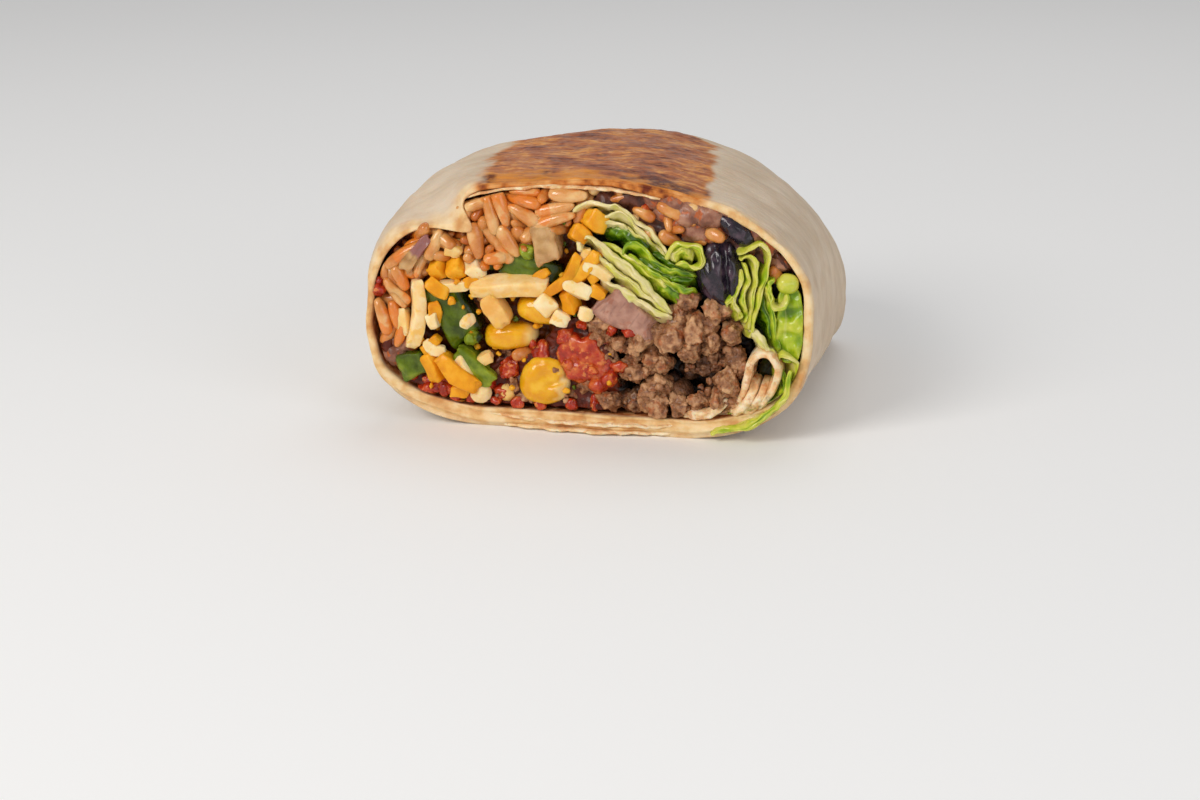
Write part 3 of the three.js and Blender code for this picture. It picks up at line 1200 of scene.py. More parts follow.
@dataclass
class Tortilla(Layer):
    """The wrap: wall, cut rim, fried top and tucked end, as one closed shell."""

    around: int = 330
    girth: float = 225.0
    floor_at: float = 26.0
    floor_rings: int = 6
    inner_rings: int = 32
    rim_rings: int = 13
    rim_width: float = 0.8
    outer_rings: int = 126
    end_rings: int = 44
    end_middle: float = 17.0
    end_aside: float = 2.0
    crease_angle: float = 134.0
    tongue_angle: float = 131.0
    noise: Noise = noise_of(3)

    def build(self) -> None:
        """Makes the shell."""
        rows = self._rings()
        shell = ball(self.around, len(rows[0]) - 1)
        ring, turn = shell.rings(len(rows[0]) - 1)
        station, inset, shrink = (row[ring] for row in rows)
        points, roll = self._shape(turn % (2 * np.pi) - np.pi / 2, station, inset, shrink)
        mesh = shell.mesh
        set_points(mesh, points)
        right_way_out(mesh)
        rise = self._relief(points, roll, inset)
        set_points(mesh, points + rows_of(mesh.vertex_normals, "vector") * rise[:, None])
        marks = self._marks(rows_of(mesh.vertices, "co") / MM, station, inset, shrink)
        mark(mesh, roll=roll, **marks)
        place_piece(mesh, "tortilla_wrap", self.finishes["flour_tortilla"], ["tortilla"])

    def _rings(self) -> tuple[Array, Array, Array]:
        """Station, inset and shrink for each ring, from the inner floor round the rim to the end.

        Returns:
            The distance from the cut, the share of the way into the wall, and the share of the outline.
        """
        rim = np.linspace(1, 0, self.rim_rings + 2)[1:-1]
        outer = np.linspace(0, 1, self.outer_rings) ** 1.05
        station = np.concatenate([
            np.full(self.floor_rings, self.floor_at),
            np.linspace(self.floor_at, self.rim_width, self.inner_rings),
            0.75 - 0.75 * np.sin(np.pi * rim) ** 0.5,
            self.rim_width + (self.section.length - self.rim_width) * outer,
            np.full(self.end_rings + 1, self.section.length),
        ])
        inset = np.concatenate([
            np.ones(self.floor_rings + self.inner_rings), rim, np.zeros(self.outer_rings + self.end_rings + 1)
        ])
        shrink = np.concatenate([
            np.linspace(0, 0.95, self.floor_rings),
            np.ones(self.inner_rings + self.rim_rings + self.outer_rings),
            np.linspace(0.97, 0, self.end_rings + 1),
        ])
        return station, inset, shrink

    def _shape(self, angle: Array, station: Array, inset: Array, shrink: Array) -> tuple[Array, Array]:
        """The shell, creased at the upper left, with its tongue, its torn rim and its tucked end.

        Args:
            angle: Round the section for each vertex.
            station: Distance from the cut.
            inset: 0 on the outside and 1 on the inside of the wall.
            shrink: The share of the way out from the middle of the section.

        Returns:
            The points, and their places on the wrap when it is rolled out.
        """
        body = self.section
        smooth = self.noise.smooth
        x, z = body.at(angle, station, inset)
        degrees = np.degrees(angle) % 360
        trip = columns(np.cos(angle) * 9, np.sin(angle) * 9, station * 0.35)
        flat = trip * [1, 1, 0]
        near_cut = np.exp(-((station / 9.0) ** 2))
        dent = -2.9 * bell(degrees, self.crease_angle, 8.5) + 1.3 * bell(degrees, 119, 8.0)
        dent += 0.9 * smooth(trip + 5, 5.5) + 0.5 * smooth(trip, 2.2)
        reach = np.exp(-((station / 4.0) ** 2))
        tongue = 5.6 * bell(degrees, self.tongue_angle, 4.6) * reach * inset
        tongue += 1.6 * bell(degrees, self.tongue_angle, 7.0) * reach * (1 - inset)
        droop = -1.1 * bell(degrees, 62, 16) * near_cut * inset
        push = (dent * near_cut * 0.8 + droop) * smoothstep(0.0, 8.0, z)
        middle = body.height * body.row(station, body.widest_at)
        out = unit_rows(columns(x, (z - middle) * 1.2))
        x, z = x + out[:, 0] * push + 0.92 * tongue, z + out[:, 1] * push - 0.4 * tongue
        wave = 0.9 * smooth(flat, 4.2) + 0.45 * smooth(flat + 9, 1.1)
        layers = 0.35 * np.sin(inset * 11 + 2.2 * smooth(flat, 3.0))
        torn = (wave + layers * (z < 6) + 0.7) * np.exp(-((station / 2.5) ** 2))
        end = station >= body.length
        centre_x = self.end_aside * end
        centre_z = np.where(end, self.end_middle, MIDDLE_HEIGHT)
        x = centre_x + (x - centre_x) * shrink
        z = centre_z + (z - centre_z) * shrink
        y = body.cut_y + station + np.clip(torn, -0.6, 2.2) - 0.3 * np.abs(tongue)
        y = y - self._tuck(x, z, shrink) * end
        around = np.where(end & (shrink < 0.96), 300 + x, (np.degrees(angle) + 90) / 360 * self.girth)
        return columns(x, y, z), columns(around, station + end * (z + 0.25 * x), inset * 0.0)

    def _tuck(self, x: Array, z: Array, shrink: Array) -> Array:
        """How far the tucked end lies behind its furthest point: two side flaps under a top one.

        Args:
            x: Across the end.
            z: Up from the table.
            shrink: The share of the way out from its middle.

        Returns:
            A distance for each point.
        """
        spot = columns(x, z * 0, z)
        sway = 1.4 * self.noise.smooth(spot, 9.0)
        left = smoothstep(-0.35, 0.35, 0.62 * (x + 2) + 0.78 * (z - 22) + sway)
        right = smoothstep(-0.35, 0.35, -0.66 * (x - 3) + 0.75 * (z - 19) - sway)
        flap = 2.6 * (1 - left) + 1.7 * (1 - right) * left
        fan = 0.45 * np.sin(0.9 * x + 0.35 * z + 2.2 * sway) * smoothstep(24, 12, z)
        hollow = 2.2 * bell(x, 1, 20) * bell(z, 15, 9)
        inner = smoothstep(1.0, 0.84, shrink)
        return (flap + fan) * inner + hollow + 0.5 * self.noise.smooth(spot, 4.0) * (1 - shrink)

    def _relief(self, points: Array, roll: Array, inset: Array) -> Array:
        """Dents, wrinkles and crust.

        Args:
            points: The shell's points.
            roll: Their places on the wrap when it is rolled out.
            inset: 0 on the outside and 1 on the inside of the wall.

        Returns:
            How far each point rises along its normal.
        """
        smooth = self.noise.smooth
        dents = 0.55 * (smooth(points, 17.0) - 0.7) + 0.2 * smooth(points, 6.0)
        edge = smoothstep(0.0, 6.0, np.minimum(roll[:, 0], np.abs(self.girth - roll[:, 0])))
        wrinkle = 0.13 * smooth(roll * [0.11, 0.85, 1], 1.0) + 0.06 * smooth(roll * [0.3, 2.0, 1], 1.0)
        crust = self._crust(points)
        flake = 0.16 * self.noise.layered(points, 3.4, 3) * crust - 0.12 * crust
        tail = smoothstep(24, 40, points[:, 1]) * 0.5 * smooth(points * [1, 0.45, 1], 5.0)
        resting = smoothstep(0.2, 5.0, points[:, 2])
        return (dents + wrinkle * edge + flake + tail) * (1 - np.clip(inset, 0, 1)) * resting

    def _crust(self, points: Array) -> Array:
        """Where the wrap is fried.

        Args:
            points: The shell's points.

        Returns:
            1 on the fried top and 0 off it.
        """
        smooth = self.noise.smooth
        fray = 2.6 * smooth(points * [1, 0.6, 1] + 40, 6.0) + 0.6 * smooth(points, 2.6)
        back = points[:, 1] - self.section.cut_y
        edge = 21.8 - 0.04 * back - np.abs(points[:, 0] - 1.0 + 0.11 * back) + fray
        edge -= 24 * smoothstep(60, 76, back + 2.5 * smooth(points + 9, 6.0))
        return smoothstep(-2.8, 3.0, edge) * (points[:, 2] > 24)

    def _marks(self, points: Array, station: Array, inset: Array, shrink: Array) -> dict[str, Array]:
        """What the finish reads: the crust, the rim and the inside, with their flakes and scorches.

        Args:
            points: The shell's points.
            station: Distance from the cut.
            inset: 0 on the outside and 1 on the inside of the wall.
            shrink: The share of the way out from the middle of the section.

        Returns:
            Values from 0 to 1 by name.
        """
        smooth = self.noise.smooth
        x = points[:, 0]
        crust = self._crust(points)
        rim = smoothstep(0.05, 0.3, inset) * smoothstep(2.6, 0.6, station)
        stain = smoothstep(3.4, 0.4, station + 1.4 * smooth(points, 3.0)) * 0.75
        fried = smoothstep(-1.5, 2.5, 22.0 - np.abs(x - 1.0) + 2.0 * smooth(points, 2.5))
        uneven = self.noise.layered(points * [1, 0.4, 0] + 8, 4.5, 3)
        patch = smooth(points * [1, 0.5, 0] + 3, 3.4) + 1.0 * bell(x, 14, 7) - 0.25
        scorched = smoothstep(9.5, 7.0, station + 2.6 * smooth(points, 3.0)) * smoothstep(0.3, 1.6, station)
        fold = smoothstep(0.12, 0.04, np.abs(shrink - 0.96))
        joint = np.where(station < self.section.length, smoothstep(76.0, 79.5, station), fold)
        return {
            "crust": crust * (inset < 0.5),
            "rim": np.maximum(rim, stain * (crust < 0.5)),
            "flaky": smoothstep(10.5, 5.5, station + 4.5 * uneven + 1.5 * smoothstep(-4, 6, x)),
            "burnt": scorched * smoothstep(0.0, 0.3, patch),
            "calm": 1 - joint,
            "fried": fried * (points[:, 2] > 27),
            "within": smoothstep(0.9, 1.0, inset) * smoothstep(0.6, 2.5, station),
        }


@dataclass
class Strips(Layer):
    """Thin layers of the wrap that show at the cut: the hem's loop and the flaky underlap.

    Each layer has its route across the cut, its depth, half its thickness, and how far behind the
    cut it starts.
    """

    noise: Noise = noise_of(8)
    layers: tuple[tuple[tuple[Spot, ...], float, float, float], ...] = (
        ((
            (21, 3.7), (24.6, 4), (27.4, 5.6), (29.3, 8.6), (30.1, 12), (30.9, 15.2), (32.7, 16.9),
            (34.9, 16.2), (35.9, 14), (35.2, 11), (33.4, 7.8), (30.8, 5), (27.4, 3.2), (23.6, 2.5),
        ), 58, 0.85, -0.4),
        (((26.2, 4.4), (29, 6), (30.9, 8.8), (31.6, 12)), 40, 1.05, -0.2),
        (((27.6, 4), (31, 6.2), (32.9, 9.2), (33.4, 11.9)), 40, 1, -0.1),
        (((30.4, 4.9), (33, 7.4), (34.4, 10), (34.6, 12.2)), 40, 0.7, 0.1),
        (((17, 4.2), (21, 4.6), (24.4, 5.6), (27.4, 8.4)), 30, 1, -0.1),
        ((
            (-24.4, 42), (-19, 44.1), (-11, 45.4), (-3, 45.9), (5, 45.7), (13, 44.6), (20, 42.6),
        ), 9, 0.3, 0.5),
        (((-26, 1.3), (-16, 0.7), (-4, 0.55), (10, 0.55), (20, 0.7), (27, 1.5)), 70, 0.4, -0.7),
        (((-23, 3), (-12, 2.2), (2, 1.9), (14, 2), (25, 2.3)), 30, 0.35, -0.35),
    )

    def build(self) -> None:
        """Makes every layer, running back from the cut with a frayed front."""
        batch = Batch("tortilla_hem")
        ring = ball(28, 80)
        smooth = self.noise.smooth
        for route, depth, half, front in self.layers:
            path = Path([self.section.spot(x, z, front + depth / 2) for x, z in route])
            points, form = path.swept(ring.unit, depth / 2, half, blunt=0.12, square=8.0, even=1.0)
            fray = 0.9 * smooth(points * [1, 0, 1], 2.4) + 0.4 * smooth(points * [1, 0, 1], 0.9)
            points[:, 1] += fray * smoothstep(-0.4, -1.0, form[:, 1])
            points[:, 2] += 0.22 * smooth(points, 4.0) + 0.1 * smooth(points, 1.6)
            points[:, 2] = np.maximum(points[:, 2], 0.05)
            stained = 0.5 * smoothstep(36, 42, points[:, 2])
            batch.add(ring, points, 0.5 - stained + 0.4 * smooth(points, 5.0), form)
        batch.piece(self.finishes["hem_tortilla"], "tortilla")


# ---- The filling's heaps ---------------------------------------------------------------------


class Heap(Enum):
    """A heap of the filling: its node, its dark colour behind the pieces, which paints the shade in the gaps
    between them as well as sauce, and how deep its core lies.
    """

    # These colours are much darker than the food itself: painted shade in the gaps between the pieces, with
    # sauce.
    RICE = ("rice", (124, 50, 18), 5.0)
    BEAN_RICE = ("bean_rice", (112, 66, 54), 2.6)
    LETTUCE_MIDDLE = ("lettuce_middle", (40, 52, 14), 7.0)
    CHEESE = ("cheese", (128, 66, 20), 5.0)
    SALSA = ("salsa", (112, 40, 18), 2.6)
    BEEF = ("beef", (36, 22, 18), 7.5)
    LETTUCE_SIDE = ("lettuce_side", (48, 62, 14), 6.0)

    def __init__(self, node: str, colour: Colour, depth: float) -> None:
        """Names the three values."""
        self.node, self.colour, self.depth = node, colour, depth


RICE_EDGE: tuple[Spot, ...] = (
    (-44, 17), (-38, 16), (-34.5, 22), (-32, 28), (-28, 32.5), (-22, 32.4), (-17, 31), (-12, 34),
    (-8.5, 37), (-3, 39), (0.5, 43), (4, 52),
)
GREEN_TOP: tuple[Spot, ...] = (
    (0.5, 43), (6, 41.2), (12, 38.5), (17, 35), (23, 35.4), (29, 35), (34, 31.5), (46, 29),
)
GREEN_FOOT: tuple[Spot, ...] = (
    (-3, 39), (-1.5, 34), (1, 30), (4, 27.6), (13, 20.8), (17.5, 22), (22.5, 24), (24, 30), (23, 35.4),
)
CHEESE_EDGE: tuple[Spot, ...] = (
    (-38, 16), (-33, 12.5), (-27, 10.2), (-21, 8.6), (-16, 13.6), (-10, 14.2), (-5, 20.4), (1.5, 23), (1, 30),
)
BEEF_EDGE: tuple[Spot, ...] = ((23.6, 27), (28, 21.5), (31, 17.8), (32, 14), (28, -4))
OUTLINES: dict[Heap, tuple[Spot, ...]] = {
    Heap.RICE: (*RICE_EDGE, (-50, 52)),
    Heap.BEAN_RICE: (*GREEN_TOP, (50, 52), (4, 52)),
    Heap.LETTUCE_MIDDLE: (*GREEN_FOOT, *GREEN_TOP[3::-1]),
    Heap.CHEESE: (*CHEESE_EDGE, (-1.5, 34), *RICE_EDGE[9:0:-1]),
    Heap.SALSA: (*CHEESE_EDGE[:8], (3.6, 17), (6.4, 11), (5, -4), (-50, -4), (-44, 17)),
    Heap.BEEF: ((1.5, 23), *GREEN_FOOT[2:7], *BEEF_EDGE, (5, -4), (6.4, 11), (3.6, 17)),
    Heap.LETTUCE_SIDE: (
        (23.6, 27), (24, 30), (23, 35.4), (29, 35), (34, 31.5), (50, 29), (50, -4), *BEEF_EDGE[:0:-1],
    ),
}


@dataclass
class Core(Layer):
    """What lies behind the loose pieces: one body with an uneven face, filling the wrap, whose dark colours
    paint the shade in the gaps between the pieces.
    """

    around: int = 220
    face_rings: int = 84
    wall_rings: int = 24
    back_rings: int = 7
    start: float = 2.0
    room: float = 0.25
    back: float = 71.0
    # The colour outside every heap, dark as painted shade in the gaps.
    between: Colour = (120, 60, 34)
    noise: Noise = noise_of(5)

    def recess(self, spots: Array) -> Array:
        """How far the face lies behind the cut, without its fine relief.

        Args:
            spots: Rows of x, z.

        Returns:
            A depth for each row.
        """
        depth = np.full(len(spots), 5.0)
        for heap, outline in OUTLINES.items():
            depth[inside(spots, outline)] = heap.depth
        return depth

    def build(self) -> None:
        """Makes the core, and paints each heap's dark colour on it, as painted shade and sauce in the gaps."""
        total = self.face_rings + self.wall_rings + self.back_rings - 1
        body = ball(self.around, total)
        ring, turn = body.rings(total)
        face, wall, back = self.face_rings, self.wall_rings, self.back_rings
        shrink = np.concatenate([np.linspace(0, 1, face), np.ones(wall), np.linspace(1, 0, back)])[ring]
        deep = np.concatenate([np.zeros(face), np.linspace(0.02, 1, wall), np.ones(back)])[ring]
        station = self.start + deep * (self.back - self.start)
        x, z = self.section.at(turn - np.pi / 2, station, np.ones(len(turn)) * (1 + self.room))
        x, z = x * shrink, MIDDLE_HEIGHT + (z - MIDDLE_HEIGHT) * shrink
        spots = columns(x, z)
        depth = self.recess(spots + 1.2 * self.noise.smooth(columns(x, z, x * 0), 3.0)[:, None])
        flat = columns(x, z * 0, z)
        relief = 1.3 * self.noise.layered(flat, 4.5, 3) + 0.8 * (0.5 - self.noise.pebbles(flat, 2.6))
        front = depth + relief
        set_points(body.mesh, columns(x, self.section.cut_y + front + deep * (self.back - front), z))
        right_way_out(body.mesh)
        tint = np.tile(np.array(linear(self.between)), (len(spots), 1))
        for heap, outline in OUTLINES.items():
            tint[inside(spots, outline)] = linear(heap.colour)
        body.mesh.color_attributes.new("heap", "FLOAT_COLOR", "POINT").data.foreach_set("color", tint.ravel())
        nodes = [heap.node for heap in Heap]
        place_piece(body.mesh, "filling_core", self.finishes["filling_core"], nodes)


# ---- Loose pieces ----------------------------------------------------------------------------


@dataclass
class Rods:
    """Rods that are pushed about until they lie against each other: the loose grains."""

    section: Section
    core: Core
    beads: int = 4
    room_behind: float = 3.5
    middles: list[Array] = field(default_factory=list)
    leans: list[Array] = field(default_factory=list)
    halves: list[float] = field(default_factory=list)
    radii: list[float] = field(default_factory=list)
    homes: list[Heap] = field(default_factory=list)
    fixed: list[tuple[float, float, float, float]] = field(default_factory=list)

    def add(self, middle: Array, lean: Array, length: float, radius: float, home: Heap) -> None:
        """Adds a rod that may move within its heap.

        Args:
            middle: Its middle.
            lean: Its direction.
            length: Its length.
            radius: Half its thickness.
            home: The heap that it belongs to.
        """
        self.middles.append(middle)
        self.leans.append(lean)
        self.halves.append(length / 2)
        self.radii.append(radius)
        self.homes.append(home)

    def block(self, spots: Array, radius: float) -> None:
        """Adds balls that nothing may pass into."""
        self.fixed += [(x, y, z, radius) for x, y, z in spots]

    def settle(self, rounds: int = 46) -> tuple[Array, Array]:
        """Pushes overlapping rods apart and keeps them in their heaps.

        Args:
            rounds: How many times every rod is pushed.

        Returns:
            The middles and the unit directions.
        """
        middle, lean = np.array(self.middles), unit_rows(np.array(self.leans))
        half, radius = np.array(self.halves), np.array(self.radii)
        reach = np.linspace(-1, 1, self.beads)[None] * np.maximum(half - radius, 0)[:, None]
        owner = np.repeat(np.arange(len(middle)), self.beads)
        for _ in range(rounds):
            beads = (middle[:, None] + lean[:, None] * reach[..., None]).reshape(-1, 3)
            push = self._apart(beads, radius[owner], owner)
            push += self._kept_in(beads + push, radius[owner], owner)
            push = push.reshape(len(middle), self.beads, 3)
            middle = middle + push.mean(1)
            turn = np.cross(reach[..., None] * lean[:, None], push).sum(1)
            spin = turn / np.maximum((reach**2).sum(1), 0.5)[:, None]
            lean = unit_rows(lean + 0.8 * np.cross(spin, lean))
        return middle, lean

    def _apart(self, beads: Array, radius: Array, owner: Array) -> Array:
        """Pushes the beads out of each other and out of fixed balls.

        Args:
            beads: Rows of x, y, z.
            radius: The radius of each.
            owner: The rod that each belongs to.

        Returns:
            The push on each.
        """
        fixed = np.array(self.fixed)
        gap = beads[:, None] - beads[None]
        far = np.linalg.norm(gap, axis=-1) + 1e-6
        over = np.clip((radius[:, None] + radius[None]) * 0.93 - far, 0, None)
        over = over * (owner[:, None] != owner[None])
        push = (gap / far[..., None] * over[..., None]).sum(1) * 0.42
        gap = beads[:, None] - fixed[None, :, :3]
        far = np.linalg.norm(gap, axis=-1) + 1e-6
        over = np.clip(radius[:, None] * 0.9 + fixed[None, :, 3] - far, 0, None)
        return push + (gap / far[..., None] * over[..., None]).sum(1) * 0.8

    def _kept_in(self, beads: Array, radius: Array, owner: Array) -> Array:
        """Pushes the beads back into their heaps, inside the wrap, and between the core and the cut.

        Args:
            beads: Rows of x, y, z.
            radius: The radius of each.
            owner: The rod that each belongs to.

        Returns:
            The push on each.
        """
        push = np.zeros_like(beads)
        homes = np.array([list(Heap).index(self.homes[o]) for o in owner])
        for index in np.unique(homes):
            mine = np.flatnonzero(homes == index)
            outline = OUTLINES[list(Heap)[index]]
            spots = beads[mine][:, [0, 2]]
            out = ~inside(spots, outline)
            shift = np.where(out[:, None], nearest_on(spots, outline) - spots, 0) * 0.5
            push[np.ix_(mine, [0, 2])] += shift
        shrink = self.section.slack(beads[:, 0], beads[:, 2], 0.95 * float(radius.mean()))
        push[:, 0] += beads[:, 0] * (shrink - 1)
        push[:, 2] += (beads[:, 2] - MIDDLE_HEIGHT) * (shrink - 1)
        front = self.section.cut_y + radius * 0.75
        back = self.section.cut_y + self.core.recess(beads[:, [0, 2]]) + self.room_behind
        push[:, 1] += np.clip(front - beads[:, 1], 0, None) - np.clip(beads[:, 1] - back, 0, None)
        return push


@dataclass(frozen=True)
class Lying:
    """A long piece placed by its two ends across the cut (x, z), and its depth behind it."""

    x0: float
    z0: float
    x1: float
    z1: float
    depth: float = 1.4
    half: float = 1.35
    bow: float = 0.0
    tone: float = 0.5
    tip: float = 0.0

    def path(self, section: Section) -> Path:
        """Its route, bowed sideways by bow and leaning back by tip at its end.

        Args:
            section: The body that it lies in.

        Returns:
            The route.
        """
        a = section.spot(self.x0, self.z0, self.depth)
        b = section.spot(self.x1, self.z1, self.depth + self.tip)
        run = unit_rows((b - a)[None])[0]
        return Path([a, (a + b) / 2 + np.array([-run[2], 0.0, run[0]]) * self.bow, b])


def lying(*rows: tuple[float, ...]) -> tuple[Lying, ...]:
    """Long pieces from rows of their numbers."""
    return tuple(Lying(*row) for row in rows)


@dataclass
class Rice(Layer):
    """Cooked long-grain rice, stained with sauce, with grains standing out at the cut."""

    rods: Rods
    length: float = 8.6
    half_width: float = 1.42
    half_height: float = 1.2
    rod_radius: float = 1.3
    noise: Noise = noise_of(12)
    rng: np.random.Generator = draws_of(12)
    loose: tuple[tuple[Heap, int], ...] = ((Heap.RICE, 140), (Heap.BEAN_RICE, 10), (Heap.CHEESE, 6))
    shown: tuple[Lying, ...] = lying(
        (-18.9, 45.3, -16.4, 36.3, 0.9, 1.5, 0.3, 0.6), (-16.6, 45.4, -14.2, 38, 0.7, 1.35, 0.2, 0.7),
        (-20.1, 43.6, -22.6, 36.4, 2, 1.4, -0.3, 0.45), (-20.9, 38.8, -19.5, 31.8, 0.6, 1.5, 0.2, 0.5),
        (-15.9, 38.4, -12, 32.6, 0.8, 1.5, -0.2, 0.6), (-14.4, 42, -8, 38.2, 1, 1.6, 0.4, 0.7),
        (-10.1, 37.9, -1.4, 40.9, 0.9, 1.45, 0.5, 0.8), (-14.2, 44.6, -8, 44.4, 1.8, 1.3, 0.2, 0.5),
        (-6.7, 44.7, 0.8, 44.4, 1.2, 1.5, -0.2, 0.95), (-24.4, 43.2, -23.4, 40.6, 2.4, 1.5, 0, 0.4, 5),
        (1.4, 45.7, 2.4, 45.2, 1.3, 1.5, 0, 0.8, 6), (6.3, 45, 7, 44.6, 1.4, 1.5, 0, 0.6, 6),
        (-37.5, 29.4, -29.1, 34.9, 0.9, 1.5, 0.4, 0.35), (-35.6, 30.3, -33.4, 25.2, 0.9, 1.4, -0.2, 0.5),
        (-39.4, 23.7, -37.3, 16.4, 1, 1.5, 0.3, 0.7), (-36.6, 23.4, -35.4, 17.6, 1.2, 1.3, 0.2, 0.5),
        (-29.4, 35.2, -23.2, 33.2, 1.8, 1.4, 0.4, 0.4), (-34, 32.6, -30, 34.8, 2.2, 1.3, 0.3, 0.3),
        (-38.6, 30.6, -37.6, 25, 2.2, 1.3, 0, 0.4), (-12, 36, -9.4, 34.4, 2.6, 1.3, 0, 0.3),
        (-26, 33.6, -22.6, 33, 1.6, 1.4, 0, 0.8, 3), (-34.2, 19.4, -36, 14.2, 1.4, 1.3, 0.1, 0.4),
        (-7.4, 41.8, -2.2, 43, 2.4, 1.3, 0, 0.3), (3.2, 42.8, 9.4, 44.6, 2.6, 1.2, 0.2, 0.4),
        (8.6, 42.2, 13, 40.4, 1.8, 1.3, 0.2, 0.3), (11.4, 38.8, 12.8, 36.4, 1, 1.4, 0, 0.9, 3),
        (13.6, 38, 17.6, 35.8, 1.2, 1.35, 0, 0.6, 2), (9, 40.6, 10.4, 40, 1.1, 1.3, 0, 0.9, 5),
        (25.4, 41.2, 28.4, 39.6, 1.5, 1.3, 0, 0.3, 3), (22.5, 42.8, 25.3, 43, 1.3, 1.3, 0, 0.3, 2),
        (34.2, 32.8, 35.3, 29.8, 1.3, 1.3, 0, 0.2, 2), (16, 41.8, 18.6, 43.4, 3.4, 1.2, 0, 0.2, 3),
    )

    def block(self, rods: Rods) -> None:
        """Blocks the places of the shown grains and of the wrap's tongue, and throws in the loose grains.

        Args:
            rods: What the loose grains settle among.
        """
        for grain in self.shown:
            rods.block(grain.path(self.section).at(np.linspace(0.15, 0.85, 4)), grain.half * 0.85)
        tongue = np.linspace((-31.0, 40.4), (-21.8, 37.2), 7)
        for deep in (-1.0, 1.0, 3.0):
            rods.block(np.insert(tongue, 1, self.section.cut_y + deep, axis=1), 1.9)
        for heap, count in self.loose:
            outline = np.array(OUTLINES[heap])
            low, high = outline.min(0).clip(-40, 3), outline.max(0).clip(None, 46)
            thrown = 0
            while thrown < count:
                x, z = self.rng.uniform(low, high)
                if not (inside(np.array([[x, z]]), OUTLINES[heap])[0] and self.section.clear(x, z, 1.0)):
                    continue
                depth = self.rng.uniform(1.2, heap.depth + 2.5)
                lean = self.rng.normal(size=3) * [1.0, 0.55, 0.9]
                size = self.length * self.rng.uniform(0.78, 1.08)
                rods.add(self.section.spot(x, z, depth), lean, size, self.rod_radius, heap)
                thrown += 1

    def build(self) -> None:
        """Settles the loose grains and makes every grain."""
        batch = Batch("rice_grains")
        seed = ball(8, 7)
        middles, leans = self.rods.settle()
        for grain in self.shown:
            self._grain(batch, seed, grain.path(self.section), grain.half, grain.tone)
        for middle, lean, half in zip(middles, leans, self.rods.halves):
            bend = np.cross(lean, self.rng.normal(size=3)) * 0.45
            path = Path([middle - lean * half, middle + bend, middle + lean * half])
            # Grains further back get a darker tone: painted shade.
            deep = (middle[1] - self.section.cut_y) / 9
            half_width = self.half_width * self.rng.uniform(0.88, 1.05)
            self._grain(batch, seed, path, half_width, self.rng.uniform(0.1, 0.9) - 0.3 * deep)
        batch.piece(self.finishes["rice"], "rice", levels=1, within=self.section)

    def _grain(self, batch: Batch, seed: Template, path: Path, half: float, tone: float) -> None:
        """Adds one grain: an oval rod with one end more pointed.

        Args:
            batch: The piece that it joins.
            seed: The starting shape.
            path: Where it lies.
            half: Half its width.
            tone: Its tone.
        """
        side = self.rng.normal(size=3)
        flat = half * self.half_height / self.half_width
        taper = 1.08 + 0.22 * seed.unit[:, 2] * self.rng.choice((-1, 1))
        points, form = path.swept(seed.unit, half * taper, flat * taper, blunt=0.55, square=2.2, side=side)
        batch.add(seed, points + 0.12 * self.noise.smooth(points, 2.0)[:, None], tone, form)


